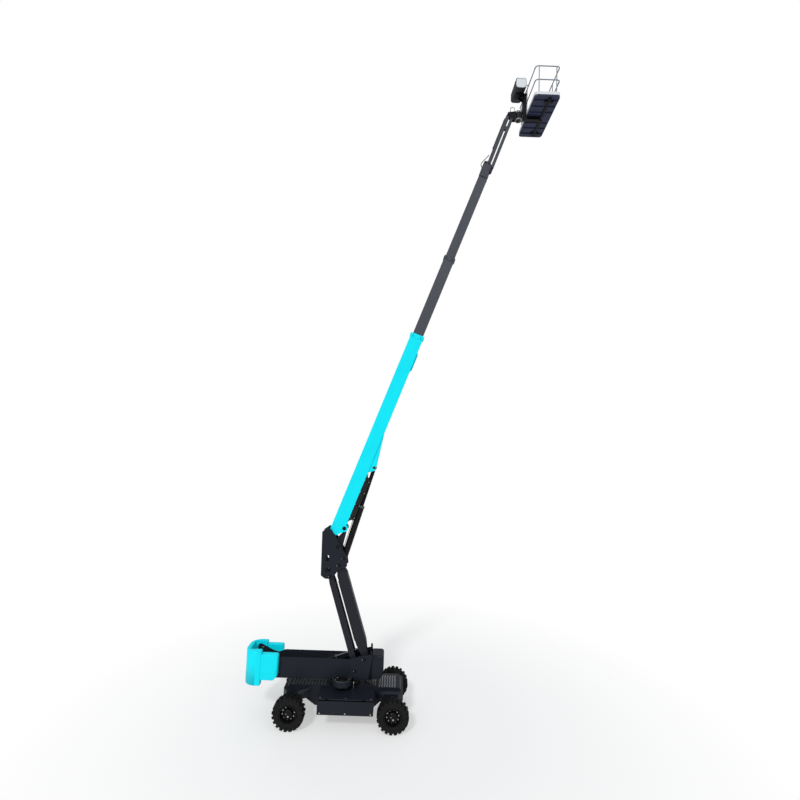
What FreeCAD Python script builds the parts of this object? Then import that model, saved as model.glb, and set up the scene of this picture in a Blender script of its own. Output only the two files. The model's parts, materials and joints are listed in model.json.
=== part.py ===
"""Articulated telescopic boom lift on four wheels, a parametric document in millimetres.

+X points forward, towards the work platform, +Y to the machine's left and +Z up.
The floor is at Z = 0 and the slewing axis stands at X = slew_x, Y = 0.
"""
import FreeCAD, Part
import math
import os
import re

import Sketcher

SIZES = [
    ("slew_x", -1800, "slewing axis, from the middle of the whole machine's length"),
    # wheels and axles
    ("wheel_base", 3430, "front axle to rear axle"),
    ("track_width", 2080, "tyre middle to tyre middle"),
    ("tyre_radius", 535, "outside radius of a tyre"),
    ("tyre_width", 385, "width of a tyre"),
    ("rim_radius", 290, "bead seat of a rim"),
    ("hub_radius", 150, "planetary hub"),
    ("spindle_radius", 60, "wheel spindle"),
    ("pin_gap", 0.1, "running clearance at pins and spindles"),
    ("axle_depth", 200, "height of an axle beam"),
    ("axle_thick", 240, "fore and aft size of an axle beam"),
    ("kingpin_y", 700, "kingpin, from the middle plane"),
    ("kingpin_radius", 32, "kingpin"),
    ("yoke_half", 130, "half the height of a steering yoke's mouth"),
    ("yoke_ear", 45, "thickness of a yoke ear"),
    ("steer_arm", 170, "kingpin to track rod ball"),
    # chassis
    ("frame_width", 840, "centre frame across"),
    ("frame_top", 1090, "top of the centre frame"),
    ("frame_low", 450, "underside of the centre frame"),
    ("front_overhang", 275, "centre frame ahead of the front axle"),
    ("rear_overhang", 215, "centre frame behind the rear axle"),
    ("frame_bevel", 60, "bevels of the centre frame's ends"),
    ("arm_reach", 700, "outer face of the wheel arms, from the middle plane"),
    ("arm_low", 726, "underside of the wheel arms"),
    ("arm_slope", 60, "drop of a wheel arm's top to its outer end"),
    ("pod_front_gap", 110, "side pods to the front tyres"),
    ("pod_rear_gap", 400, "side pods to the rear tyres"),
    ("pod_reach", 1200, "outer face of the side pods"),
    ("pod_low", 570, "underside of the side pods"),
    ("pod_top", 1070, "top of the side pods"),
    ("deck_thick", 8, "anti-slip plate"),
    ("ring_radius", 540, "slewing ring"),
    ("ring_bore", 400, "bore of the slewing ring"),
    ("ring_split", 1170, "height at which the slewing ring turns"),
    ("ring_gap", 0.5, "gap at the slewing ring's split"),
    # turntable
    ("trough_low", 1250, "underside of the turntable"),
    ("trough_top", 1940, "top edge of the trough"),
    ("trough_half", 290, "half the clear width of the trough"),
    ("trough_wall", 20, "side plate"),
    ("trough_floor", 40, "floor plate"),
    ("trough_rear", 3120, "rear end of the floor, behind the slewing axis"),
    ("plate_rear", 2190, "rear end of the full height side plates"),
    ("tail_rear", 3200, "rear end of the side plates, inside the counterweight"),
    ("tail_top", 2120, "top of that end"),
    ("cheek_rear", 176, "rear edge of the cheeks"),
    ("cheek_front", 950, "front edge of the cheeks"),
    ("cheek_top", 2130, "highest point of the cheeks"),
    ("cheek_wall", 25, "cheek doubler plate"),
    ("nose_front", 1345, "front face of the nose"),
    ("nose_low", 1300, "underside of the nose"),
    ("nose_corner", 100, "rounded front edge of the nose"),
    ("nose_top", 2085, "top of the nose box"),
    ("drive_radius", 320, "round housing of the slewing drive"),
    ("drive_x", -50, "slewing drive, from the slewing axis"),
    ("drive_y", 560, "slewing drive, from the middle plane"),
    # counterweight
    ("weight_half", 520, "half the width of the counterweight"),
    ("weight_front", 2280, "front face of the side blocks"),
    ("weight_seam", 2860, "seam of the side blocks and the rear block"),
    ("weight_rear", 3450, "rear face of the counterweight"),
    ("weight_notch", 3290, "rear wall of the notch"),
    ("weight_top", 2100, "top of the side blocks"),
    ("weight_low", 1250, "underside of the side blocks"),
    ("weight_round", 400, "rounding of the rear block in plan"),
    ("weight_bevel", 35, "bevel on the castings' edges"),
    ("rear_top", 2200, "top of the rear block"),
    ("rear_low", 1060, "underside of the rear block"),
    ("seam_gap", 0.3, "gap between bolted pieces"),
    ("slide_gap", 0.3, "gap at the wear pads of the boom stages"),
    # lower arm, tie link and knuckle
    ("foot_x", 680, "foot pin of the lower arm"),
    ("foot_z", 1955, "height of that pin"),
    ("link_dx", -300, "tie pin, from the arm's pin, fore and aft"),
    ("link_dz", -390, "tie pin, from the arm's pin, up and down"),
    ("riser_length", 3300, "lower arm, pin to pin"),
    ("riser_angle", 108.2, "lower arm, from the forward horizontal"),
    ("riser_deep", 366, "depth of the lower arm"),
    ("riser_half", 150, "half its width"),
    ("riser_wall", 12, "its wall"),
    ("riser_pin", 45, "its pin's radius"),
    ("tie_deep", 200, "depth of the tie bars"),
    ("tie_inner", 162, "inner face of a tie bar"),
    ("tie_wall", 40, "thickness of a tie bar"),
    ("knuckle_half", 215, "half the clear width between the knuckle's plates"),
    ("knuckle_wall", 25, "a knuckle plate"),
    ("plate_corner", 45, "rounded corners of the knuckle's plates"),
    ("hole_narrow", 105, "narrow way of the knuckle's long holes"),
    ("hole_long", 220, "long way of those holes"),
    ("side_gap", 5, "running gap beside bosses"),
    ("pin_stand", 10, "how far the large pins stand out of their plates"),
    ("lug_half", 105, "half the width of the knuckle's boom lug"),
    ("boom_pin_dx", 119, "boom pin, from the knuckle's arm pin, fore and aft"),
    ("boom_pin_dz", 1281, "boom pin, from the knuckle's arm pin, up"),
    ("boom_pin", 50, "its radius"),
    # main boom
    ("boom_angle", 69.65, "boom above the horizontal"),
    ("outer_deep", 485, "depth of the outer boom"),
    ("outer_half", 170, "half its width"),
    ("outer_wall", 10, "its wall"),
    ("outer_axis", 222, "its middle line above the boom pin"),
    ("outer_front", 7500, "its front end, from the boom pin"),
    ("outer_tail", 345, "its tail, behind the boom pin"),
    ("mid_deep", 393, "depth of the middle stage"),
    ("mid_half", 138, "half its width"),
    ("mid_wall", 8, "its wall"),
    ("mid_front", 10700, "its front end"),
    ("stage_length", 6900, "length of the two inner stages"),
    ("inner_deep", 347, "depth of the inner stage"),
    ("inner_half", 115, "half its width"),
    ("inner_wall", 7, "its wall"),
    ("inner_front", 14250, "its front end"),
    ("stage_axis", 214, "middle line of the two inner stages"),
    ("collar_length", 150, "collar round a stage's front end"),
    ("collar_lip", 14, "how far that collar stands out"),
    ("wear_length", 180, "wear pads at a stage's tail"),
    ("head_x", 14625, "level bracket's pin on the boom head"),
    ("head_z", 335, "the same pin above the boom pin"),
    # boom cylinder
    ("cyl_foot_dx", 150, "cylinder's foot pin, from the knuckle's arm pin"),
    ("cyl_foot_dz", 240, "the same, up"),
    ("cyl_eye_u", 2386, "cylinder's eye, along the boom"),
    ("cyl_eye_drop", 144.5, "cylinder's eye, below the boom's underside"),
    ("cyl_eye", 85, "its eyes' outside radius"),
    ("cyl_radius", 112, "barrel"),
    ("cyl_rod", 68, "rod"),
    ("cyl_barrel", 1900, "barrel's length"),
    ("cyl_pin", 35, "its pins"),
    # riser cylinder
    ("rcyl_x", -1600, "riser cylinder's foot pin"),
    ("rcyl_z", 1440, "its height"),
    ("rcyl_eye_u", 290, "its eye along the lower arm"),
    ("rcyl_eye_v", 0, "its eye off the lower arm's middle line"),
    ("rcyl_eye", 60, "its eyes' outside radius"),
    ("rcyl_radius", 65, "barrel"),
    ("rcyl_rod", 38, "rod"),
    ("rcyl_barrel", 1350, "barrel's length"),
    # jib
    ("jib_dx", 130, "jib pin, from the level bracket's pin"),
    ("jib_dz", 0, "the same, up"),
    ("jib_tie_dx", 110, "jib tie pin, from the jib pin"),
    ("jib_tie_dz", -200, "the same, up"),
    ("jib_length", 2165, "jib, pin to pin"),
    ("jib_angle", 70.3, "jib above the horizontal"),
    ("jib_deep", 136, "depth of the jib arm"),
    ("jib_half", 56, "half its width"),
    ("bracket_inner", 62, "inner face of a bracket plate"),
    ("bracket_wall", 25, "a bracket plate"),
    ("jtie_inner", 92, "inner face of a jib tie bar"),
    ("jtie_wall", 20, "its thickness"),
    ("jtie_deep", 115, "its depth"),
    ("head_inner", 120, "inner face of a boom head cheek"),
    ("head_wall", 25, "a boom head cheek"),
    ("small_pin", 25, "pins of the jib"),
    ("jcyl_eye_u", 1600, "jib cylinder's eye along the jib"),
    ("jcyl_eye_v", -132, "the same, off the jib's middle line"),
    ("jcyl_foot_dx", 60, "jib cylinder's foot pin, from the jib pin"),
    ("jcyl_foot_dz", -300, "the same, up"),
    ("jcyl_eye", 38, "its eyes' outside radius"),
    ("jcyl_radius", 34, "jib cylinder's barrel"),
    ("jcyl_rod", 20, "its rod"),
    ("jcyl_barrel", 1000, "its barrel's length"),
    # platform
    ("rotor_dx", 390, "platform's turning axis, from the jib's tip pin"),
    ("rotor_radius", 135, "rotary actuator"),
    ("mast_half", 80, "half the width of the platform's mast"),
    ("mast_deep", 125, "fore and aft size of that mast"),
    ("floor_drop", 78, "underside of the platform's floor, below the jib's tip pin"),
    ("floor_thick", 60, "floor"),
    ("deck_dx", 765, "middle of the platform, from its turning axis"),
    ("deck_wide", 930, "platform, fore and aft"),
    ("deck_long", 2360, "platform, across"),
    ("rail_high", 1180, "top rail above the floor's underside"),
    ("rail_mid", 640, "middle rail above the floor's underside"),
    ("rail_radius", 19, "rail tube"),
    ("toe_high", 170, "toe board above the floor's underside"),
    ("toe_wall", 6, "toe board"),
    ("deck_corner", 110, "rounded corners of the floor and the toe boards"),
    ("rail_bend", 110, "bend of the rails' corners"),
    ("tread_inset", 75, "edge of the raised tread panel, from the floor's edge"),
    ("tread_rise", 3, "height of that panel"),
    ("post_end", 320, "posts of the closed end, from the platform's middle"),
    ("console_rear", 220, "rear face of the control box, from the turning axis"),
    ("console_front", 190, "front face of the control box, from that axis"),
    ("console_half", 400, "half its width"),
    ("console_low", 870, "its underside, above the floor's underside"),
    ("console_high", 1290, "its top, above the floor's underside"),
    ("console_round", 100, "rounding of its long edges"),
    ("hose_radius", 10, "hydraulic hoses"),
    ("hose_bend", 75, "bend of the hoses"),
    ("gate_post", 16, "gate's upright tubes"),
    ("gate_front", 240, "gate's free edge, ahead of the platform's middle"),
    ("gate_rear", 320, "gate's hinge, behind the platform's middle"),
]

# places that follow from the sizes, from the slewing axis and the floor
DERIVED = {
    "frame_front": "(wheel_base / 2 + front_overhang)",
    "frame_rear": "(wheel_base / 2 + rear_overhang)",
    "pod_front": "(wheel_base / 2 - tyre_radius - pod_front_gap)",
    "pod_rear": "(wheel_base / 2 - tyre_radius - pod_rear_gap)",
    "outer_low": "(outer_axis - outer_deep / 2)",
    "outer_top": "(outer_axis + outer_deep / 2)",
    "cyl_eye_v": "(outer_low - cyl_eye_drop)",
    "knuckle_x": "(foot_x + riser_length * cos(riser_angle))",
    "knuckle_z": "(foot_z + riser_length * sin(riser_angle))",
    "boom_x": "(knuckle_x + boom_pin_dx)",
    "boom_z": "(knuckle_z + boom_pin_dz)",
    "head_pin_x": "(boom_x + head_x * cos(boom_angle) - head_z * sin(boom_angle))",
    "head_pin_z": "(boom_z + head_x * sin(boom_angle) + head_z * cos(boom_angle))",
    "jib_x": "(head_pin_x + jib_dx)",
    "jib_z": "(head_pin_z + jib_dz)",
    "tip_x": "(jib_x + jib_length * cos(jib_angle))",
    "tip_z": "(jib_z + jib_length * sin(jib_angle))",
    "rotor_x": "(tip_x + rotor_dx)",
    "floor_z": "(tip_z - floor_drop)",
    "deck_x": "(rotor_x + deck_dx)",
    "rail_inset": "(toe_wall + rail_radius)",
    "rail_half_x": "(deck_wide / 2 - rail_inset)",
    "rail_half_y": "(deck_long / 2 - rail_inset)",
    "rail_join": "(rail_half_y - rail_bend - 20)",
}

doc = FreeCAD.newDocument("boom_lift")
dims = doc.addObject("Spreadsheet::Sheet", "Dims")


def fill_sheet():
    """Write each driving size to the sheet, with its meaning beside it."""
    for row, (alias, number, meaning) in enumerate(SIZES, start=1):
        dims.set(f"A{row}", meaning)
        dims.set(f"B{row}", str(number))
        dims.setAlias(f"B{row}", alias)
    doc.recompute()


def link(text):
    """Point every size's name in an expression at its cell, and spell out derived places."""
    def cell(found):
        name = found.group()
        return link(DERIVED[name]) if name in DERIVED else "Dims." + name
    return re.sub(r"[a-z]+(?:_[a-z]+)+", cell, text)


def val(text):
    """Value of an expression now."""
    return float(dims.evalExpression(link(text)))


def bind(item, prop, text):
    item.setExpression(prop, link(text))


def vec(x, y, z=0.0):
    return FreeCAD.Vector(x, y, z)


# ---------------------------------------------------------------- bodies and sketches

VIEWS = {"side": "XZ_Plane", "plan": "XY_Plane", "front": "YZ_Plane"}


def place(item, x="slew_x", y="0", z="0", pitch=None):
    """Stand a piece at a point, its own +X raised by the angle pitch."""
    if pitch:
        item.Placement = FreeCAD.Placement(vec(0, 0), FreeCAD.Rotation(vec(0, -1), val(pitch)))
        bind(item, "Placement.Rotation.Angle", pitch)
    for axis, text in zip("xyz", (x, y, z)):
        bind(item, "Placement.Base." + axis, text)


def new_body(label, x="slew_x", y="0", z="0", pitch=None):
    item = doc.addObject("PartDesign::Body", label)
    item.Label = label
    place(item, x, y, z, pitch)
    return item


def new_sketch(item, view, shift="0"):
    """Sketch on one of a body's own planes, moved along that plane's normal."""
    sketch = item.newObject("Sketcher::SketchObject", item.Label + "_" + view)
    role = VIEWS[view]
    plane = next(part for part in item.Origin.OriginFeatures if part.Role == role)
    sketch.AttachmentSupport = [(plane, "")]
    sketch.MapMode = "FlatFace"
    bind(sketch, "AttachmentOffset.Base.z", shift)
    return sketch


def fix_point(sketch, shape, end, point):
    """Hold one end of a sketch shape at a point given by two expressions."""
    for kind, text in zip(("DistanceX", "DistanceY"), point):
        rule = sketch.addConstraint(Sketcher.Constraint(kind, -1, 1, shape, end, val(text)))
        bind(sketch, f"Constraints[{rule}]", text)


def outline(sketch, corners):
    """Closed outline of straight lines through the corners."""
    first = sketch.GeometryCount
    count = len(corners)
    points = [vec(val(a), val(b)) for a, b in corners]
    for k in range(count):
        sketch.addGeometry(Part.LineSegment(points[k], points[(k + 1) % count]), False)
    for k in range(count):
        after = first + (k + 1) % count
        sketch.addConstraint(Sketcher.Constraint("Coincident", first + k, 2, after, 1))
        fix_point(sketch, first + k, 1, corners[k])


def circle(sketch, centre, radius):
    middle = vec(val(centre[0]), val(centre[1]))
    shape = sketch.addGeometry(Part.Circle(middle, vec(0, 0, 1), val(radius)), False)
    fix_point(sketch, shape, 3, centre)
    rule = sketch.addConstraint(Sketcher.Constraint("Radius", shape, val(radius)))
    bind(sketch, f"Constraints[{rule}]", radius)


def rectangle(sketch, low, high):
    outline(sketch, [low, (high[0], low[1]), high, (low[0], high[1])])


def stadium(sketch, centre, long, high):
    """Long hole with round ends, the ends on its longer sides."""
    a, b = (val(text) for text in centre)
    width, height = val(long), val(high)
    radius = min(width, height) / 2
    upright = height > width
    reach = max(width, height) / 2 - radius
    step = vec(0, reach) if upright else vec(reach, 0)
    side = vec(radius, 0) if upright else vec(0, -radius)
    middle = vec(a, b)
    tip = step.normalize() * (reach + radius)
    step = step.normalize() * reach
    arcs = [Part.Arc(middle + step + side, middle + tip, middle + step - side),
            Part.Arc(middle - step - side, middle - tip, middle - step + side)]
    lines = [Part.LineSegment(middle + step - side, middle - step - side),
             Part.LineSegment(middle - step + side, middle + step + side)]
    for shape in (arcs[0], lines[0], arcs[1], lines[1]):
        sketch.addGeometry(shape, False)


def pad(item, sketch, length, both=True, back=False):
    """Grow a solid from a sketch, half to each side or all to one."""
    feature = item.newObject("PartDesign::Pad", item.Label + "_pad")
    feature.Profile = sketch
    feature.SideType = "Symmetric" if both else "One side"
    feature.Reversed = back
    bind(feature, "Length", length)
    return feature


def pocket(item, sketch, length, both=True, back=False):
    """Cut a sketch out of a body, half to each side or all to one."""
    feature = item.newObject("PartDesign::Pocket", item.Label + "_pocket")
    feature.Profile = sketch
    feature.SideType = "Symmetric" if both else "One side"
    feature.Reversed = back
    bind(feature, "Length", length)
    return feature


def revolve(item, sketch, axis):
    feature = item.newObject("PartDesign::Revolution", item.Label + "_turned")
    feature.Profile = sketch
    feature.ReferenceAxis = (sketch, [axis])
    feature.Angle = 360
    return feature


def corners(item, feature, radius, chosen, kind="Fillet"):
    """Round or bevel the edges of a body's last feature that a test picks out."""
    doc.recompute()
    names = [f"Edge{k}" for k, edge in enumerate(feature.Shape.Edges, start=1) if chosen(edge)]
    bend = item.newObject("PartDesign::" + kind, item.Label + "_corners")
    bend.Base = (feature, names)
    bind(bend, "Radius" if kind == "Fillet" else "Size", radius)
    return bend


def runs_along(axis, where=lambda middle: True):
    """Test for straight edges along one of a body's axes whose middle is in a place."""
    def chosen(edge):
        if edge.Curve.TypeId != "Part::GeomLine" or not where(edge.CenterOfMass):
            return False
        along = edge.Curve.Direction
        return abs(along.dot(axis)) > 0.999
    return chosen


SIDEWAYS = vec(0, 1)
UPRIGHT = vec(0, 0, 1)


def disc(item, centre, radius, width, view="side", shift="0"):
    """Round boss or pin across the machine, centred on the middle plane."""
    sketch = new_sketch(item, view, shift)
    circle(sketch, centre, radius)
    return pad(item, sketch, width)


def bore(item, centre, radius, width, view="side", shift="0"):
    sketch = new_sketch(item, view, shift)
    circle(sketch, centre, radius)
    return pocket(item, sketch, width)


def slab(item, corners, width):
    """Plate or block with a side outline, centred on the middle plane."""
    sketch = new_sketch(item, "side")
    outline(sketch, corners)
    return pad(item, sketch, width)


def hollow(item, corners, width):
    sketch = new_sketch(item, "side")
    outline(sketch, corners)
    return pocket(item, sketch, width)


def box(name, low, high):
    """Part::Box between two corners given by expressions, from the slewing axis."""
    item = doc.addObject("Part::Box", name)
    for prop, a, b in zip(("Length", "Width", "Height"), low, high):
        bind(item, prop, f"{b} - ({a})")
    place(item, f"slew_x + ({low[0]})", low[1], low[2])
    return item


def drum(name, centre, radius, height, turn=None):
    """Part::Cylinder that stands on its centre, or lies along +Y or +X."""
    item = doc.addObject("Part::Cylinder", name)
    bind(item, "Radius", radius)
    bind(item, "Height", height)
    if turn:
        item.Placement = FreeCAD.Placement(vec(0, 0), FreeCAD.Rotation(*turn))
    for axis, text in zip("xyz", (f"slew_x + ({centre[0]})", centre[1], centre[2])):
        bind(item, "Placement.Base." + axis, text)
    return item


ALONG_Y = (vec(1, 0, 0), -90)
ALONG_X = (vec(0, 1, 0), 90)


def fuse(label, pieces):
    item = doc.addObject("Part::MultiFuse", label)
    item.Shapes = pieces
    item.Label = label
    return item


# ---------------------------------------------------------------- chassis

def chassis_frame():
    """Box frame with a broad cross arm over each axle, all welded into one."""
    body = new_body("chassis_frame")
    side = [
        ("-frame_rear", "frame_top - frame_bevel"), ("-frame_rear + frame_bevel", "frame_top"),
        ("frame_front - frame_bevel", "frame_top"), ("frame_front", "frame_top - frame_bevel"),
        ("frame_front + 60", "frame_top - 200"), ("frame_front + 60", "arm_low + frame_bevel"),
        ("frame_front", "arm_low"), ("pod_front + 300", "arm_low"), ("pod_front", "frame_low"),
        ("-pod_rear - 180", "frame_low"), ("-pod_rear - 580", "arm_low"),
        ("-frame_rear - 40", "arm_low"), ("-frame_rear - 100", "arm_low + frame_bevel"),
        ("-frame_rear - 100", "frame_top - 200"),
    ]
    slab(body, side, "frame_width")
    arms = new_sketch(body, "plan", "arm_low")
    outline(arms, [
        ("pod_front + 60", "-frame_width / 2 + 5"), ("pod_front + 290", "-arm_reach"),
        ("frame_front - 120", "-arm_reach"), ("frame_front + 58", "-arm_reach + 200"),
        ("frame_front + 58", "arm_reach - 200"), ("frame_front - 120", "arm_reach"),
        ("pod_front + 290", "arm_reach"), ("pod_front + 60", "frame_width / 2 - 5"),
    ])
    outline(arms, [
        ("-pod_rear - 330", "frame_width / 2 - 5"), ("-wheel_base / 2 + 200", "arm_reach"),
        ("-frame_rear + 40", "arm_reach"), ("-frame_rear - 98", "arm_reach - 200"),
        ("-frame_rear - 98", "-arm_reach + 200"), ("-frame_rear + 40", "-arm_reach"),
        ("-wheel_base / 2 + 200", "-arm_reach"), ("-pod_rear - 330", "-frame_width / 2 + 5"),
    ])
    pad(body, arms, "frame_top - arm_slope - arm_low", both=False)
    return body


def deck_plates():
    front = new_body("front_deck_plate")
    sketch = new_sketch(front, "plan", "frame_top + seam_gap")
    outline(sketch, [
        ("ring_radius + 160", "-60"), ("ring_radius + 160", "60"),
        ("ring_radius + 620", "frame_width / 2 - 10"), ("frame_front - 100", "frame_width / 2 - 10"),
        ("frame_front - 100", "-frame_width / 2 + 10"), ("ring_radius + 620", "-frame_width / 2 + 10"),
    ])
    pad(front, sketch, "deck_thick", both=False)
    rear = new_body("rear_deck_plate")
    sketch = new_sketch(rear, "plan", "frame_top + seam_gap")
    rectangle(sketch, ("-frame_rear + 100", "-frame_width / 2 + 10"),
              ("-ring_radius - 60", "frame_width / 2 - 10"))
    pad(rear, sketch, "deck_thick", both=False)


def side_pod(label, side):
    """Battery pod between the wheels, with a flat lid."""
    body = new_body(label)
    section = new_sketch(body, "front", "(pod_front - pod_rear) / 2")
    edge = f"{side} * (frame_width / 2 + seam_gap)"
    outline(section, [
        (edge, "pod_low + 40"), (f"{side} * (pod_reach - 60)", "pod_low + 40"),
        (f"{side} * (pod_reach - 30)", "pod_low"), (f"{side} * pod_reach", "pod_low"),
        (f"{side} * pod_reach", "pod_top - 12"), (f"{side} * (pod_reach - 12)", "pod_top"),
        (edge, "pod_top"),
    ])
    pad(body, section, "pod_front + pod_rear")


def slewing_ring():
    body = new_body("slewing_ring")
    sketch = new_sketch(body, "plan", "frame_top")
    circle(sketch, ("0", "0"), "ring_radius")
    circle(sketch, ("0", "0"), "ring_bore")
    pad(body, sketch, "ring_split - frame_top", both=False)


def front_axle():
    body = new_body("front_axle", x="slew_x + wheel_base / 2", z="tyre_radius")
    sketch = new_sketch(body, "front")
    low = "-axle_depth / 2"
    outline(sketch, [
        ("-track_width / 2 + 280", low), ("-frame_width / 2", low), ("frame_width / 2", low),
        ("track_width / 2 - 280", low), ("track_width / 2 - 280", "axle_depth / 2"),
        ("arm_reach - 40", "arm_low - tyre_radius - seam_gap"),
        ("-arm_reach + 40", "arm_low - tyre_radius - seam_gap"),
        ("-track_width / 2 + 280", "axle_depth / 2"),
    ])
    pad(body, sketch, "axle_thick")
    flange = new_sketch(body, "side")
    circle(flange, ("0", "0"), "hub_radius")
    pad(body, flange, "track_width - 500")
    spindle = new_sketch(body, "side")
    circle(spindle, ("0", "0"), "spindle_radius")
    pad(body, spindle, "track_width + 60")


def rear_axle():
    body = new_body("rear_axle", x="slew_x - wheel_base / 2", z="tyre_radius")
    sketch = new_sketch(body, "front")
    mouth = "kingpin_y - 95"
    tip = "kingpin_y + 50"
    half = "yoke_half + yoke_ear"
    right = [
        (mouth, "-yoke_half"), (tip, "-yoke_half"), (tip, f"-({half})"),
        (f"{mouth} - 90", f"-({half})"),
    ]
    outline(sketch, [
        (f"-({mouth})", "yoke_half"), (f"-({tip})", "yoke_half"), (f"-({tip})", half),
        ("-arm_reach + 40", "arm_low - tyre_radius - seam_gap"),
        ("arm_reach - 40", "arm_low - tyre_radius - seam_gap"),
        (tip, half), (tip, "yoke_half"), (mouth, "yoke_half"),
        *right,
        (f"-({mouth}) + 90", f"-({half})"), (f"-({tip})", f"-({half})"),
        (f"-({tip})", "-yoke_half"), (f"-({mouth})", "-yoke_half"),
    ])
    pad(body, sketch, "axle_thick / 2")
    for side in ("1", "-1"):
        bore(body, ("0", f"{side} * kingpin_y"), "kingpin_radius + pin_gap", "2 * yoke_half + 4 * yoke_ear",
             "plan")


def steering_knuckle(label, side):
    """Stub axle on its kingpin, with the steering arm that the track rod pulls."""
    body = new_body(label, x="slew_x - wheel_base / 2", y=f"{side} * kingpin_y", z="tyre_radius")
    block = new_sketch(body, "plan")
    rectangle(block, ("-55", f"{side} * -60"), ("55", f"{side} * 60"))
    pad(body, block, "2 * yoke_half - 2 * side_gap")
    disc(body, ("0", "0"), "kingpin_radius", "2 * yoke_half + 2 * yoke_ear + 20", "plan")
    arm = new_sketch(body, "plan", "-yoke_half + side_gap")
    rectangle(arm, ("40", f"{side} * -30"), ("steer_arm + 35", f"{side} * 30"))
    pad(body, arm, "40", both=False)
    reach = "track_width / 2 - kingpin_y"
    for radius, start, end in (("hub_radius", "90", f"{reach} - 110"),
                               ("spindle_radius", "0", f"{reach} + 30")):
        sketch = new_sketch(body, "side", f"{side} * -({start} + {end}) / 2")
        circle(sketch, ("0", "0"), radius)
        pad(body, sketch, f"{end} - ({start})")


def track_rod():
    body = new_body("track_rod", x="slew_x - wheel_base / 2 + steer_arm",
                    z="tyre_radius - yoke_half + side_gap")
    rod = new_sketch(body, "side")
    circle(rod, ("0", "-32"), "22")
    pad(body, rod, "2 * kingpin_y - 40")
    for side in ("1", "-1"):
        disc(body, ("0", f"{side} * kingpin_y"), "30", "40", "plan", "-seam_gap - 20 - 2 * pin_gap")


# ---------------------------------------------------------------- wheels

def wheel(label, x, side):
    """Tyre and rim: the dish is set back, and the planetary hub stands in it."""
    y = f"{side} * track_width / 2"
    tyre = new_body(label + "_tyre", x=f"slew_x + ({x})", y=y, z="tyre_radius")
    sketch = new_sketch(tyre, "front")
    half = "tyre_width / 2"
    outline(sketch, [
        (f"-{half} + 30", "rim_radius"), (f"-{half}", "rim_radius + 70"),
        (f"-{half}", "tyre_radius - 90"), (f"-{half} + 25", "tyre_radius - 25"),
        (f"-{half} + 60", "tyre_radius"), (f"{half} - 60", "tyre_radius"),
        (f"{half} - 25", "tyre_radius - 25"), (f"{half}", "tyre_radius - 90"),
        (f"{half}", "rim_radius + 70"), (f"{half} - 30", "rim_radius"),
    ])
    revolve(tyre, sketch, "H_Axis")
    rim = new_body(label + "_rim", x=f"slew_x + ({x})", y=y, z="tyre_radius")
    sketch = new_sketch(rim, "front")
    outline(sketch, [
        (f"{side} * ({half} - 20)", "rim_radius - seam_gap"), (f"{side} * ({half} - 20)", "rim_radius - 26"),
        (f"{side} * 20", "rim_radius - 40"), (f"{side} * 20", "hub_radius"),
        (f"{side} * 130", "hub_radius"), (f"{side} * 150", "hub_radius - 30"),
        (f"{side} * 150", "0"), (f"{side} * 40", "0"),
        (f"{side} * 40", "spindle_radius + pin_gap"), (f"{side} * -90", "spindle_radius + pin_gap"),
        (f"{side} * -90", "hub_radius"), (f"{side} * 0", "hub_radius"),
        (f"{side} * 0", "rim_radius - 40"), (f"{side} * (-{half} + 20)", "rim_radius - 26"),
        (f"{side} * (-{half} + 20)", "rim_radius - seam_gap"),
    ])
    revolve(rim, sketch, "H_Axis")


# ---------------------------------------------------------------- turntable

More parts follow.
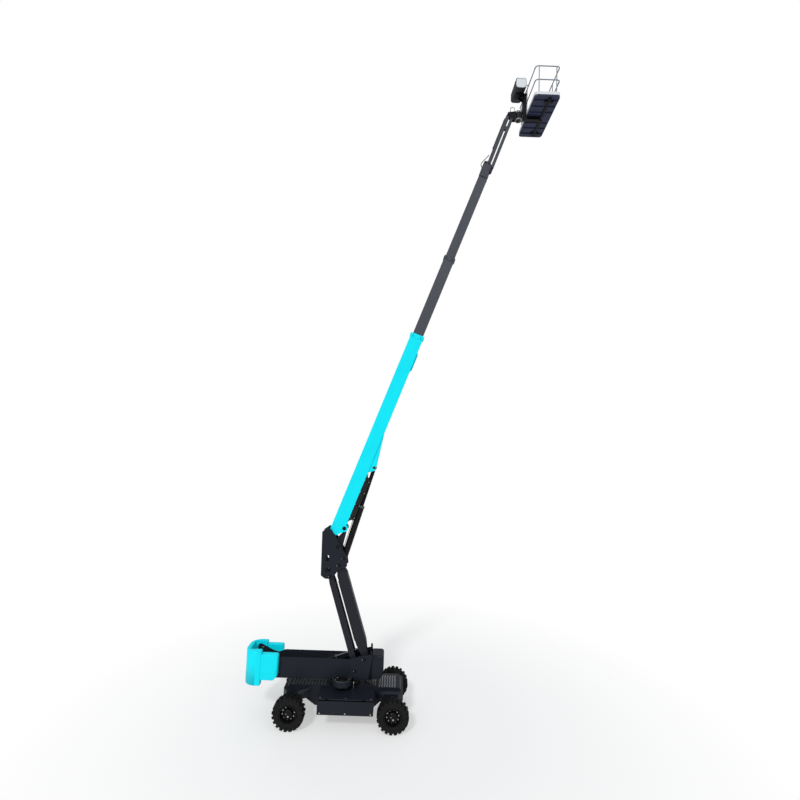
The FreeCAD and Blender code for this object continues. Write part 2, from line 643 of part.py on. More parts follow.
def turntable():
    base = new_body("turntable_base")
    ring = new_sketch(base, "plan", "ring_split + ring_gap")
    circle(ring, ("0", "0"), "ring_radius - 40")
    pad(base, ring, "trough_low - ring_split - ring_gap", both=False)
    floor = new_sketch(base, "plan", "trough_low")
    outline(floor, [
        ("-trough_rear", "-120"), ("-trough_rear + 300", "-trough_half - trough_wall"),
        ("cheek_front", "-trough_half - trough_wall"), ("cheek_front", "trough_half + trough_wall"),
        ("-trough_rear + 300", "trough_half + trough_wall"), ("-trough_rear", "120"),
    ])
    pad(base, floor, "trough_floor", both=False)
    bracket = new_sketch(base, "side")
    outline(bracket, [
        ("rcyl_x - 120", "trough_low"), ("rcyl_x + 120", "trough_low"),
        ("rcyl_x + 50", "rcyl_z + 50"), ("rcyl_x - 50", "rcyl_z + 50"),
    ])
    pad(base, bracket, "2 * rcyl_radius + 80")
    hollow(base, [
        ("rcyl_x - 130", "trough_low + trough_floor"), ("rcyl_x + 130", "trough_low + trough_floor"),
        ("rcyl_x + 130", "rcyl_z + 60"), ("rcyl_x - 130", "rcyl_z + 60"),
    ], "2 * rcyl_radius + 10")
    disc(base, ("rcyl_x", "rcyl_z"), "cyl_pin", "2 * rcyl_radius + 70")

    plates = new_body("trough_plates")
    full = "2 * (trough_half + trough_wall)"
    seat = "trough_low + trough_floor"
    slab(plates, [
        ("-tail_rear + 260", seat), ("cheek_front - 120", seat), ("cheek_front", "cheek_top - 130"),
        ("cheek_front - 20", "cheek_top"), ("cheek_rear", "trough_top + 30"), ("cheek_rear", "trough_top"),
        ("-plate_rear", "trough_top"), ("-plate_rear - 230", "trough_top - 90"),
        ("-plate_rear - 440", "trough_top - 40"), ("-tail_rear + 110", "tail_top"),
        ("-tail_rear + 30", "tail_top - 20"), ("-tail_rear", "tail_top - 120"),
        ("-tail_rear + 60", "tail_top - 330"),
    ], full)
    inner = new_sketch(plates, "side")
    rectangle(inner, ("-weight_rear", f"{seat} - 10"), ("cheek_front + 10", "cheek_top + 10"))
    pocket(plates, inner, "2 * trough_half")
    cheek = new_sketch(plates, "side")
    outline(cheek, [
        ("cheek_rear", f"{seat} + 40"), ("cheek_front - 120", f"{seat} + 40"),
        ("cheek_front - 10", "cheek_top - 130"), ("cheek_front - 30", "cheek_top - 5"),
        ("cheek_rear", "trough_top + 25"),
    ])
    pad(plates, cheek, f"{full} + 2 * cheek_wall")
    again = new_sketch(plates, "side")
    rectangle(again, ("-plate_rear - 10", f"{seat} - 10"), ("cheek_front + 10", "cheek_top + 10"))
    pocket(plates, again, "2 * trough_half")
    for centre, radius in ((("foot_x", "foot_z"), "riser_pin"),
                           (("foot_x + link_dx", "foot_z + link_dz"), "riser_pin - 8")):
        disc(plates, centre, radius, f"{full} + 2 * cheek_wall + 2 * pin_stand")

    nose = new_body("nose_box")
    hood = slab(nose, [
        ("cheek_front + seam_gap", "nose_low"), ("nose_front - 120", "nose_low"),
        ("nose_front", "nose_low + 170"), ("nose_front", "nose_top"), ("cheek_front + seam_gap", "nose_top"),
    ], full)
    front = val("nose_front") - 1
    hood = corners(nose, hood, "nose_corner", runs_along(SIDEWAYS, lambda m: m.x > front and m.z > 1800))
    corners(nose, hood, "nose_corner / 2", runs_along(UPRIGHT, lambda m: m.x > front))
    drive = new_body("slewing_drive", x="slew_x + drive_x", y="-drive_y")
    sketch = new_sketch(drive, "plan", "trough_low")
    circle(sketch, ("0", "0"), "drive_radius")
    pad(drive, sketch, "200", both=False)
    shell = new_sketch(drive, "plan", "trough_low + 100")
    circle(shell, ("0", "0"), "drive_radius - 20")
    pocket(drive, shell, "200", both=False, back=True)
    trim = new_sketch(drive, "side", "drive_y * -1")
    rectangle(trim, ("-drive_radius - 50", "trough_low - 10"), ("drive_radius + 50", "trough_low + 300"))
    pocket(drive, trim, "2 * (trough_half + trough_wall + cheek_wall) + 1")


def counterweight():
    """Horseshoe of three castings: two side blocks and a round rear block."""
    rear = new_body("rear_counterweight")
    plan = new_sketch(rear, "plan", "rear_low")
    inner = "trough_half + trough_wall + seam_gap"
    outline(plan, [
        ("-weight_seam - seam_gap", "-weight_half"), ("-weight_seam - seam_gap", f"-({inner})"),
        ("-weight_notch", f"-({inner})"), ("-weight_notch", f"({inner})"),
        ("-weight_seam - seam_gap", f"({inner})"), ("-weight_seam - seam_gap", "weight_half"),
        ("-weight_rear", "weight_half"), ("-weight_rear", "-weight_half"),
    ])
    block = pad(rear, plan, "rear_top - rear_low", both=False)
    back = -val("weight_rear") + 1
    block = corners(rear, block, "weight_round", runs_along(UPRIGHT, lambda m: m.x < back))
    crown = val("rear_top") - 1
    corners(rear, block, "weight_bevel",
            lambda edge: edge.CenterOfMass.z > crown and outside(edge), "Chamfer")
    for label, side in (("right_counterweight", "-1"), ("left_counterweight", "1")):
        piece = new_body(label, y=f"{side} * (weight_half + {inner}) / 2")
        block = slab(piece, [
            ("-weight_seam", "weight_low"), ("-weight_front - 130", "weight_low"),
            ("-weight_front", "weight_low + 150"), ("-weight_front", "weight_top"),
            ("-weight_seam", "weight_top"),
        ], f"weight_half - ({inner})")
        top = val("weight_top") - 1
        face = -val("weight_front") - 1
        outer = float(side)
        corners(piece, block, "weight_bevel", lambda edge: (
            (edge.CenterOfMass.z > top and (edge.CenterOfMass.y * outer > 50 or edge.CenterOfMass.x > face))
            or (edge.CenterOfMass.x > face and edge.CenterOfMass.y * outer > 50)), "Chamfer")


def outside(edge):
    """Whether a top edge of the rear block lies on its outer outline."""
    middle = edge.CenterOfMass
    return abs(middle.y) > val("trough_half") + 100 and middle.x < -val("weight_seam") - 10 or \
        middle.x < -val("weight_notch") - 20


# ---------------------------------------------------------------- lower arm

def lower_arm():
    body = new_body("lower_arm", x="slew_x + foot_x", z="foot_z", pitch="riser_angle")
    slab(body, [
        ("0", "-riser_pin * 1.9"), ("500", "-riser_deep / 2"),
        ("riser_length - 350", "-riser_deep / 2"), ("riser_length", "-riser_pin * 1.9"),
        ("riser_length", "riser_pin * 1.9"), ("riser_length - 350", "riser_deep / 2"),
        ("500", "riser_deep / 2"), ("0", "riser_pin * 1.9"),
    ], "2 * riser_half")
    section = new_sketch(body, "front", "500")
    rectangle(section, ("-riser_half + riser_wall", "-riser_deep / 2 + riser_wall"),
              ("riser_half - riser_wall", "riser_deep / 2 - riser_wall"))
    pocket(body, section, "riser_length - 900", both=False, back=True)
    for centre, width in ((("0", "0"), "2 * trough_half - 2 * side_gap"),
                          (("riser_length", "0"), "2 * knuckle_half - 2 * side_gap")):
        disc(body, centre, "riser_pin * 2", width)
        bore(body, centre, "riser_pin + pin_gap", "2 * trough_half")
    mouth = new_sketch(body, "side")
    rectangle(mouth, ("riser_pin * 2 + 25", "-riser_deep / 2 + riser_wall"), ("780", "riser_deep"))
    pocket(body, mouth, "2 * riser_half - 50")


def lower_tie():
    body = new_body("lower_tie_link", x="slew_x + foot_x + link_dx", z="foot_z + link_dz",
                    pitch="riser_angle")
    wide = "2 * (tie_inner + tie_wall)"
    pin = "riser_pin - 8"
    slab(body, [
        ("0", "-70"), ("250", "-tie_deep / 2"), ("riser_length - 250", "-tie_deep / 2"),
        ("riser_length", "-70"), ("riser_length", "70"), ("riser_length - 250", "tie_deep / 2"),
        ("250", "tie_deep / 2"), ("0", "70"),
    ], wide)
    for centre in (("0", "0"), ("riser_length", "0")):
        disc(body, centre, f"2 * ({pin})", wide)
    hollow(body, [
        ("-200", "-200"), ("riser_length + 200", "-200"), ("riser_length + 200", "200"), ("-200", "200"),
    ], "2 * tie_inner")
    for at in ("1300", "riser_length - 500"):
        disc(body, (at, "0"), "50", f"{wide} - 10")
    for centre in (("0", "0"), ("riser_length", "0")):
        bore(body, centre, f"{pin} + pin_gap", "2 * trough_half")


def knuckle():
    body = new_body("knuckle", x="slew_x + knuckle_x", z="knuckle_z")
    wide = "2 * (knuckle_half + knuckle_wall)"
    edge = [
        ("-653", "1154"), ("-440", "1310"), ("-331", "1245"), ("232", "351"), ("284", "-26"),
        ("0", "-140"), ("-250", "-480"), ("-490", "-470"), ("-636", "-365"),
    ]
    plates = slab(body, edge, wide)
    corners(body, plates, "plate_corner", runs_along(SIDEWAYS))
    hollow(body, [("-800", "-600"), ("800", "-600"), ("800", "1400"), ("-800", "1400")], "2 * knuckle_half")
    for centre, long, high in ((("-425", "240"), "hole_narrow", "hole_long"),
                               (("-410", "-170"), "hole_long", "hole_narrow * 1.3")):
        slot = new_sketch(body, "side")
        stadium(slot, centre, long, high)
        pocket(body, slot, f"{wide} + 2 * pin_stand")
    back = new_sketch(body, "side")
    outline(back, [("-640", "300"), ("-560", "300"), ("-560", "700"), ("-650", "700")])
    pad(body, back, "2 * knuckle_half + 2")
    lug = new_sketch(body, "side")
    outline(lug, [
        ("-560", "400"), ("-100", "300"), ("50", "520"), ("boom_pin_dx + 75", "boom_pin_dz - 100"),
        ("boom_pin_dx + 75", "boom_pin_dz + 40"), ("boom_pin_dx + 40", "boom_pin_dz + 80"),
        ("boom_pin_dx - 75", "boom_pin_dz + 40"), ("boom_pin_dx - 90", "boom_pin_dz - 200"),
        ("-350", "690"), ("-560", "690"),
    ])
    pad(body, lug, "2 * lug_half")
    cross = new_sketch(body, "side")
    outline(cross, [("-200", "420"), ("-60", "420"), ("-60", "560"), ("-200", "560")])
    pad(body, cross, "2 * knuckle_half + 2")
    for centre, radius, width in (
        (("0", "0"), "riser_pin", f"{wide} + 2 * pin_stand"),
        (("link_dx", "link_dz"), "riser_pin - 8", f"{wide} + 2 * pin_stand"),
        (("cyl_foot_dx", "cyl_foot_dz"), "cyl_pin", f"{wide} + 2 * pin_stand"),
        (("boom_pin_dx", "boom_pin_dz"), "boom_pin", "2 * outer_half + 2 * pin_stand"),
    ):
        disc(body, centre, radius, width)


def cylinder(label, foot, reach, size, pin, grip):
    """Barrel on its foot pin and rod to its eye, each along its own +X."""
    dx, dz = reach
    place_at = {"x": foot[0], "z": foot[1], "pitch": f"atan2({dz}; {dx})"}
    eye, radius, rod, barrel = f"{size}_eye", f"{size}_radius", f"{size}_rod", f"{size}_barrel"
    length = f"hypot({dx}; {dz})"
    tube = new_body(label + "_barrel", **place_at)
    disc(tube, ("0", "0"), eye, grip)
    body = new_sketch(tube, "front", f"{eye} * 0.6")
    circle(body, ("0", "0"), radius)
    pad(tube, body, f"{barrel} - {eye} * 0.6", both=False)
    inner = new_sketch(tube, "front", "250")
    circle(inner, ("0", "0"), f"{rod} + pin_gap")
    pocket(tube, inner, barrel, both=False, back=True)
    bore(tube, ("0", "0"), f"{pin} + pin_gap", f"{grip} + 20")
    stem = new_body(label + "_rod", **place_at)
    sketch = new_sketch(stem, "front", f"{barrel} - 200")
    circle(sketch, ("0", "0"), rod)
    pad(stem, sketch, f"{length} - {barrel} + 200", both=False)
    disc(stem, (length, "0"), eye, grip)


def cylinders():
    """Cylinders that lift the main boom, the lower arm and the jib."""
    cylinder("boom_cylinder", ("slew_x + knuckle_x + cyl_foot_dx", "knuckle_z + cyl_foot_dz"), (
        "(boom_pin_dx - cyl_foot_dx + cyl_eye_u * cos(boom_angle) - cyl_eye_v * sin(boom_angle))",
        "(boom_pin_dz - cyl_foot_dz + cyl_eye_u * sin(boom_angle) + cyl_eye_v * cos(boom_angle))",
    ), "cyl", "cyl_pin", "2 * lug_half - 2 * side_gap")
    cylinder("riser_cylinder", ("slew_x + rcyl_x", "rcyl_z"), (
        "(foot_x - rcyl_x + rcyl_eye_u * cos(riser_angle) - rcyl_eye_v * sin(riser_angle))",
        "(foot_z - rcyl_z + rcyl_eye_u * sin(riser_angle) + rcyl_eye_v * cos(riser_angle))",
    ), "rcyl", "cyl_pin", "2 * rcyl_radius - 10")
    cylinder("jib_cylinder", ("slew_x + jib_x + jcyl_foot_dx", "jib_z + jcyl_foot_dz"), (
        "(jcyl_eye_u * cos(jib_angle) - jcyl_eye_v * sin(jib_angle) - jcyl_foot_dx)",
        "(jcyl_eye_u * sin(jib_angle) + jcyl_eye_v * cos(jib_angle) - jcyl_foot_dz)",
    ), "jcyl", "small_pin", "2 * jcyl_radius")


# ---------------------------------------------------------------- main boom

BOOM_AT = {"x": "slew_x + boom_x", "z": "boom_z", "pitch": "boom_angle"}


def frame_section(sketch, middle, deep, half, inner_middle, inner_deep, inner_half):
    """One box outline inside another, each about its own middle line."""
    rectangle(sketch, (f"-({half})", f"{middle} - ({deep}) / 2"), (half, f"{middle} + ({deep}) / 2"))
    rectangle(sketch, (f"-({inner_half})", f"{inner_middle} - ({inner_deep}) / 2"),
              (inner_half, f"{inner_middle} + ({inner_deep}) / 2"))


def stage(label, front, size, around, inside=None):
    """Box section boom stage: wear pads at its tail fill the stage around it."""
    body = new_body(label, **BOOM_AT)
    middle, deep, half, wall = "stage_axis", f"{size}_deep", f"{size}_half", f"{size}_wall"
    bore_deep, bore_half = f"{deep} - 2 * {wall}", f"{half} - {wall}"
    tube = new_sketch(body, "front", f"{front} - stage_length")
    frame_section(tube, middle, deep, half, middle, bore_deep, bore_half)
    pad(body, tube, "stage_length", both=False)
    wear = new_sketch(body, "front", f"{front} - stage_length")
    around_middle, around_deep, around_half = around
    frame_section(wear, around_middle, f"{around_deep} - 2 * slide_gap", f"{around_half} - slide_gap",
                  middle, bore_deep, bore_half)
    pad(body, wear, "wear_length", both=False)
    if inside:
        collar = new_sketch(body, "front", f"{front} - collar_length")
        frame_section(collar, middle, f"{deep} + 2 * collar_lip", f"{half} + collar_lip",
                      middle, f"{inside}_deep + 2 * slide_gap", f"{inside}_half + slide_gap")
        pad(body, collar, "collar_length", both=False)
    return body


def main_boom():
    outer = new_body("outer_boom", **BOOM_AT)
    slab(outer, [
        ("-110", "outer_low"), ("outer_front", "outer_low"),
        ("outer_front", "outer_top"), ("-215", "outer_top"),
        ("-outer_tail", "outer_axis - 40"),
    ], "2 * outer_half")
    hollow(outer, [
        ("-outer_tail - 10", "outer_low - 10"), ("380", "outer_low - 10"), ("380", "outer_low + outer_wall"),
        ("outer_front + 10", "outer_low + outer_wall"), ("outer_front + 10", "outer_top - outer_wall"),
        ("-outer_tail - 10", "outer_top - outer_wall"),
    ], "2 * (outer_half - outer_wall)")
    disc(outer, ("0", "0"), "120", "2 * outer_half + 30")
    hollow(outer, [("-300", "-300"), ("300", "-300"), ("300", "300"), ("-300", "300")],
           "2 * (outer_half - outer_wall)")
    bore(outer, ("0", "0"), "boom_pin + pin_gap", "2 * outer_half + 60")
    slab(outer, [
        ("outer_front - 1400", "outer_low + 5"), ("outer_front - 1280", "outer_low - 50"),
        ("outer_front - 720", "outer_low - 50"), ("outer_front - 600", "outer_low + 5"),
    ], "outer_half")
    collar = new_sketch(outer, "front", "outer_front - collar_length")
    frame_section(collar, "outer_axis", "outer_deep + 2 * collar_lip", "outer_half + collar_lip",
                  "stage_axis", "mid_deep + 2 * slide_gap", "mid_half + slide_gap")
    pad(outer, collar, "collar_length", both=False)

    bracket = new_body("boom_cylinder_bracket", **BOOM_AT)
    slab(bracket, [
        ("cyl_eye_u - 250", "outer_low - seam_gap"), ("cyl_eye_u - 90", "cyl_eye_v - 60"),
        ("cyl_eye_u + 60", "cyl_eye_v - 60"), ("cyl_eye_u + 1300", "outer_low - seam_gap"),
    ], "2 * (lug_half + 30)")
    hollow(bracket, [
        ("cyl_eye_u - 300", "outer_low - 25"), ("cyl_eye_u - 300", "cyl_eye_v - 100"),
        ("cyl_eye_u + 900", "cyl_eye_v - 100"), ("cyl_eye_u + 900", "outer_low - 25"),
    ], "2 * lug_half")

    stage("middle_stage", "mid_front", "mid",
          ("outer_axis", "outer_deep - 2 * outer_wall", "outer_half - outer_wall"), inside="inner")
    stage("inner_stage", "inner_front", "inner",
          ("stage_axis", "mid_deep - 2 * mid_wall", "mid_half - mid_wall"))

    head = new_body("boom_head", **BOOM_AT)
    slab(head, [
        ("inner_front - 180", "stage_axis - inner_deep / 2 - 10"),
        ("inner_front + 160", "stage_axis - inner_deep / 2 + 60"),
        ("head_x + 60", "head_z - 60"), ("head_x + 60", "head_z + 50"), ("head_x - 60", "head_z + 70"),
        ("inner_front - 180", "stage_axis + inner_deep / 2 + 10"),
    ], "2 * (head_inner + head_wall)")
    hollow(head, [
        ("inner_front - 200", "-300"), ("head_x + 100", "-300"),
        ("head_x + 100", "800"), ("inner_front - 200", "800"),
    ], "2 * head_inner")
    web = new_sketch(head, "side")
    rectangle(web, ("inner_front + seam_gap", "stage_axis - inner_deep / 2 + 65"),
              ("inner_front + 25", "stage_axis + inner_deep / 2"))
    pad(head, web, "2 * head_inner + 10")
    disc(head, ("head_x", "head_z"), "small_pin", "2 * (head_inner + head_wall) + 16")


# ---------------------------------------------------------------- jib and platform

JIB_AT = {"x": "slew_x + jib_x", "z": "jib_z", "pitch": "jib_angle"}
TIE_AT = {"x": "slew_x + jib_x + jib_tie_dx", "z": "jib_z + jib_tie_dz", "pitch": "jib_angle"}


def stub_pins(body, centre):
    """Two short pins that carry the tie bars outside a bracket's plates."""
    for side in ("1", "-1"):
        sketch = new_sketch(body, "side", f"{side} * -(bracket_inner + 1)")
        circle(sketch, centre, "small_pin")
        pad(body, sketch, "jtie_inner + jtie_wall - bracket_inner + 4", both=False, back=side == "1")


def level_bracket():
    body = new_body("level_bracket", x="slew_x + head_pin_x", z="head_pin_z")
    wide = "2 * (bracket_inner + bracket_wall)"
    slab(body, [
        ("-45", "-45"), ("-45", "45"), ("jib_dx - 30", "jib_dz + 110"), ("jib_dx + 45", "jib_dz + 60"),
        ("jib_dx + jib_tie_dx + 50", "jib_dz + jib_tie_dz + 20"),
        ("jib_dx + jib_tie_dx + 40", "jib_dz + jib_tie_dz - 50"),
        ("jib_dx + jcyl_foot_dx + 40", "jib_dz + jcyl_foot_dz - 40"),
        ("jib_dx + jcyl_foot_dx - 40", "jib_dz + jcyl_foot_dz - 40"),
    ], wide)
    hollow(body, [("48", "-450"), ("500", "-450"), ("500", "400"), ("48", "400")], "2 * bracket_inner")
    bore(body, ("0", "0"), "small_pin + pin_gap", wide + " + 20")
    disc(body, ("jib_dx", "jib_dz"), "small_pin", wide + " - 1")
    disc(body, ("jib_dx + jcyl_foot_dx", "jib_dz + jcyl_foot_dz"), "small_pin", wide + " - 1")
    stub_pins(body, ("jib_dx + jib_tie_dx", "jib_dz + jib_tie_dz"))


def jib():
    arm = new_body("jib_arm", **JIB_AT)
    slab(arm, [
        ("0", "-small_pin * 1.9"), ("150", "-jib_deep / 2"), ("jib_length - 150", "-jib_deep / 2"),
        ("jib_length", "-small_pin * 1.9"), ("jib_length", "small_pin * 1.9"),
        ("jib_length - 150", "jib_deep / 2"), ("150", "jib_deep / 2"), ("0", "small_pin * 1.9"),
    ], "2 * jib_half")
    for centre in (("0", "0"), ("jib_length", "0")):
        disc(arm, centre, "small_pin * 2", "2 * jib_half")
        bore(arm, centre, "small_pin + pin_gap", "2 * jib_half + 20")
    slab(arm, [
        ("jcyl_eye_u - 90", "-jib_deep / 2 + 5"), ("jcyl_eye_u - 35", "jcyl_eye_v - 32"),
        ("jcyl_eye_u + 35", "jcyl_eye_v - 32"), ("jcyl_eye_u + 90", "-jib_deep / 2 + 5"),
    ], "2 * jib_half")
    hollow(arm, [
        ("jcyl_eye_u - 100", "jcyl_eye_v - 60"), ("jcyl_eye_u + 100", "jcyl_eye_v - 60"),
        ("jcyl_eye_u + 100", "-jib_deep / 2"), ("jcyl_eye_u - 100", "-jib_deep / 2"),
    ], "2 * jcyl_radius + 2 * side_gap")
    for label, side in (("jib_tie_right", "-1"), ("jib_tie_left", "1")):
        tie = new_body(label, **TIE_AT)
        bind(tie, "Placement.Base.y", f"{side} * (jtie_inner + jtie_wall / 2)")
        slab(tie, [
            ("0", "-small_pin * 1.8"), ("120", "-jtie_deep / 2"), ("jib_length - 120", "-jtie_deep / 2"),
            ("jib_length", "-small_pin * 1.8"), ("jib_length", "small_pin * 1.8"),
            ("jib_length - 120", "jtie_deep / 2"), ("120", "jtie_deep / 2"), ("0", "small_pin * 1.8"),
        ], "jtie_wall")
        for centre in (("0", "0"), ("jib_length", "0")):
            disc(tie, centre, "small_pin * 1.9", "jtie_wall")
            bore(tie, centre, "small_pin + pin_gap", "jtie_wall + 20")


def carrier():
    body = new_body("platform_carrier", x="slew_x + tip_x", z="tip_z")
    wide = "2 * (bracket_inner + bracket_wall)"
    slab(body, [
        ("-45", "-40"), ("-30", "60"), ("40", "60"), ("rotor_dx - rotor_radius + 20", "100"),
        ("rotor_dx - rotor_radius + 20", "-230"), ("jib_tie_dx - 30", "jib_tie_dz - 45"),
        ("jib_tie_dx - 45", "jib_tie_dz + 20"),
    ], wide)
    hollow(body, [("-100", "-400"), ("230", "-400"), ("230", "400"), ("-100", "400")], "2 * bracket_inner")
    post = new_sketch(body, "plan", "-230")
    circle(post, ("rotor_dx", "0"), "rotor_radius")
    pad(body, post, "330", both=False)
    disc(body, ("0", "0"), "small_pin", wide + " - 1")
    stub_pins(body, ("jib_tie_dx", "jib_tie_dz"))


def hoses():
    """Hose loops at the boom head and over the platform carrier, held at both ends."""
    head = vec(val("slew_x + head_pin_x"), val("head_pin_z"))
    ends = [("-10", "-98.3"), ("-136", "-182"), ("-155", "40"), ("148", "382")]
    for label, side in (("head_hose_right", "-1"), ("head_hose_left", "1")):
        y = val(f"{side} * (hose_radius + 6)")
        hose(label, [vec(head.x + val(a), y, head.y + val(b)) for a, b in ends])
    tip = vec(val("slew_x + tip_x"), val("tip_z"))
    y = val("-bracket_inner - bracket_wall / 2")
    ends = [("60", "66.4"), ("60", "250"), ("225", "250"), ("225", "93.6")]
    hose("carrier_hose", [vec(tip.x + val(a), y, tip.y + val(b)) for a, b in ends])


def hose(label, points):
    """Round hose along straight runs and arcs, with a ferrule at its start."""
    run = bent_tube(label + "_run", points, val("hose_bend"), val("hose_radius"))
    along = (points[1] - points[0]).normalize()
    ferrule = doc.addObject("Part::Feature", label + "_ferrule")
    ferrule.Shape = Part.makeCylinder(val("hose_radius + 4"), 32, points[0], along)
    fuse(label, [run, ferrule])


def platform():
    post = "(rotor_x + rotor_radius + 20)"
    fuse("platform_mast", [
        box("mast_post", (post, "-mast_half", "floor_z - 130"),
            (f"{post} + mast_deep", "mast_half", "floor_z + console_low - seam_gap")),
        box("mast_top", ("rotor_x - 80", "-mast_half", "tip_z + 100 + ring_gap"),
            (f"{post} + 10", "mast_half", "tip_z + 145")),
        box("mast_beam", (f"{post} + 20", "-mast_half", "floor_z - 130"),
            ("deck_x + 60", "mast_half", "floor_z - seam_gap")),
        box("mast_shelf", ("rotor_x - 150", "-150", "floor_z + console_low - 40"),
            (f"{post} + mast_deep", "150", "floor_z + console_low - seam_gap")),
    ])
    floor = new_body("platform_floor", x="slew_x + deck_x")
    sketch = new_sketch(floor, "plan", "floor_z")
    rectangle(sketch, ("-deck_wide / 2", "-deck_long / 2"), ("deck_wide / 2", "deck_long / 2"))
    plate = pad(floor, sketch, "floor_thick", both=False)
    corners(floor, plate, "deck_corner", runs_along(UPRIGHT))
    tread = new_sketch(floor, "plan", "floor_z + floor_thick / 2")
    wide, long = "(deck_wide / 2 - tread_inset)", "(deck_long / 2 - tread_inset)"
    outline(tread, [
        (f"-{wide} + 60", f"-{long}"), (f"{wide} - 60", f"-{long}"), (wide, f"-{long} + 60"),
        (wide, f"{long} - 60"), (f"{wide} - 60", long), (f"-{wide} + 60", long),
        (f"-{wide}", f"{long} - 60"), (f"-{wide}", f"-{long} + 60"),
    ])
    pad(floor, tread, "floor_thick / 2 + tread_rise", both=False)


def bent_tube(name, points, bend, radius):
    """Tube along straight runs joined by arcs of one radius."""
    edges = []
    start = points[0]
    for before, corner, after in zip(points, points[1:], points[2:]):
        into = (corner - before).normalize()
        out = (after - corner).normalize()
        turn = into.getAngle(out)
        inset = bend * math.tan(turn / 2)
        first = corner - into * inset
        last = corner + out * inset
        middle = corner + (out - into).normalize() * (bend / math.cos(turn / 2) - bend)
        edges += [Part.LineSegment(start, first).toShape(), Part.Arc(first, middle, last).toShape()]
        start = last
    edges.append(Part.LineSegment(start, points[-1]).toShape())
    spine = Part.Wire(edges)
    along = (points[1] - points[0]).normalize()
    ring = Part.Wire([Part.Circle(points[0], along, radius).toShape()])
    item = doc.addObject("Part::Feature", name)
    item.Shape = spine.makePipeShell([ring], True, False)
    return item


RAILS = {"top": "floor_z + rail_high - rail_radius", "middle": "floor_z + rail_mid"}


def rail_post(name, x, y):
    return drum(name, (f"deck_x + ({x})", y, "floor_z + floor_thick + 0.3"),
                "rail_radius - 2", "rail_high - floor_thick - rail_radius")


def end_rails(label, runs, posts):
    """Top and middle rails bent round an end of the platform, on their posts."""
    pieces = [rail_post(f"{label}_post_{k}", x, y) for k, (x, y) in enumerate(posts)]
    for name, height in RAILS.items():
        points = [vec(val(f"slew_x + deck_x + ({x})"), val(y), val(height)) for x, y in runs]
        pieces.append(bent_tube(f"{label}_{name}", points, val("rail_bend"), val("rail_radius")))
    fuse(label, pieces)


def side_rails(label, x, posts):
    """Straight top and middle rails along a side of the platform."""
    pieces = [rail_post(f"{label}_post_{k}", x, y) for k, y in enumerate(posts)]
    for name, height in RAILS.items():
        pieces.append(drum(f"{label}_{name}", (f"deck_x + ({x})", "-rail_join + seam_gap", height),
                           "rail_radius", "2 * rail_join - 2 * seam_gap", ALONG_Y))
    fuse(label, pieces)


def guard_rails():
    end_rails("right_end_rails", [
        ("-rail_half_x", "-rail_join"), ("-rail_half_x", "-rail_half_y"),
        ("rail_half_x", "-rail_half_y"), ("rail_half_x", "-rail_join"),
    ], [("-post_end", "-rail_half_y"), ("post_end", "-rail_half_y")])
    end_rails("left_front_rails", [
        ("gate_front", "rail_half_y"), ("rail_half_x", "rail_half_y"), ("rail_half_x", "rail_join"),
    ], [("gate_front + 45", "rail_half_y")])
    end_rails("left_rear_rails", [
        ("-gate_rear", "rail_half_y"), ("-rail_half_x", "rail_half_y"), ("-rail_half_x", "rail_join"),
    ], [("-gate_rear - 25", "rail_half_y")])
    side_rails("front_side_rails", "rail_half_x", ("-deck_long / 8", "deck_long / 4"))
    side_rails("rear_side_rails", "-rail_half_x", ("20", "deck_long / 3"))


def toe_boards():
    body = new_body("toe_boards", x="slew_x + deck_x")
    sketch = new_sketch(body, "plan", "floor_z + floor_thick + 0.3")
    for inset in ("0", "toe_wall"):
        rectangle(sketch, (f"-deck_wide / 2 + {inset}", f"-deck_long / 2 + {inset}"),
                  (f"deck_wide / 2 - {inset}", f"deck_long / 2 - {inset}"))
    wall = pad(body, sketch, "toe_high - floor_thick", both=False)
    corners(body, wall, "deck_corner", runs_along(UPRIGHT))
    gap = new_sketch(body, "plan", "floor_z + floor_thick")
    rectangle(gap, ("-gate_rear", "deck_long / 2 - 60"), ("gate_front", "deck_long / 2 + 20"))
    pocket(body, gap, "toe_high", both=False, back=True)


def gate():
    y = "rail_half_y"
    low = "floor_z + floor_thick + 20"
    left = "deck_x - gate_rear + gate_post + seam_gap"
    right = "deck_x + gate_front - gate_post - seam_gap"
    pieces = [
        drum("gate_post_rear", (left, y, low), "gate_post", "rail_high - floor_thick - 60"),
        drum("gate_post_front", (right, y, low), "gate_post", "rail_high - floor_thick - 60"),
    ]
    for k, height in enumerate(("rail_high - 60", "rail_mid")):
        pieces.append(drum(f"gate_bar_{k}", (left, y, f"floor_z + {height}"), "14",
                           f"{right} - ({left})", ALONG_X))
    pieces.append(box("gate_toe", (left, f"{y} - 4", low), (right, f"{y} + 4", "floor_z + toe_high")))
    fuse("platform_gate", pieces)


def console():
    body = new_body("control_console", x="slew_x + rotor_x", z="floor_z")
    block = slab(body, [
        ("-console_rear", "console_low"), ("console_front", "console_low"),
        ("console_front", "console_high"), ("-console_rear", "console_high"),
    ], "2 * console_half")
    corners(body, block, "console_round", runs_along(SIDEWAYS))


# ---------------------------------------------------------------- build

def build():
    fill_sheet()
    chassis_frame()
    deck_plates()
    side_pod("right_side_pod", "-1")
    side_pod("left_side_pod", "1")
    slewing_ring()
    front_axle()
    rear_axle()
    track_rod()
    for name, side in (("right", "-1"), ("left", "1")):
        steering_knuckle(f"{name}_steering_knuckle", side)
        wheel(f"front_{name}", "wheel_base / 2", side)
        wheel(f"rear_{name}", "-wheel_base / 2", side)
    turntable()
    counterweight()
    lower_arm()
    lower_tie()
    knuckle()
    main_boom()
    cylinders()
    level_bracket()
    jib()
    carrier()
    hoses()
    platform()
    guard_rails()
    toe_boards()
    gate()
    console()


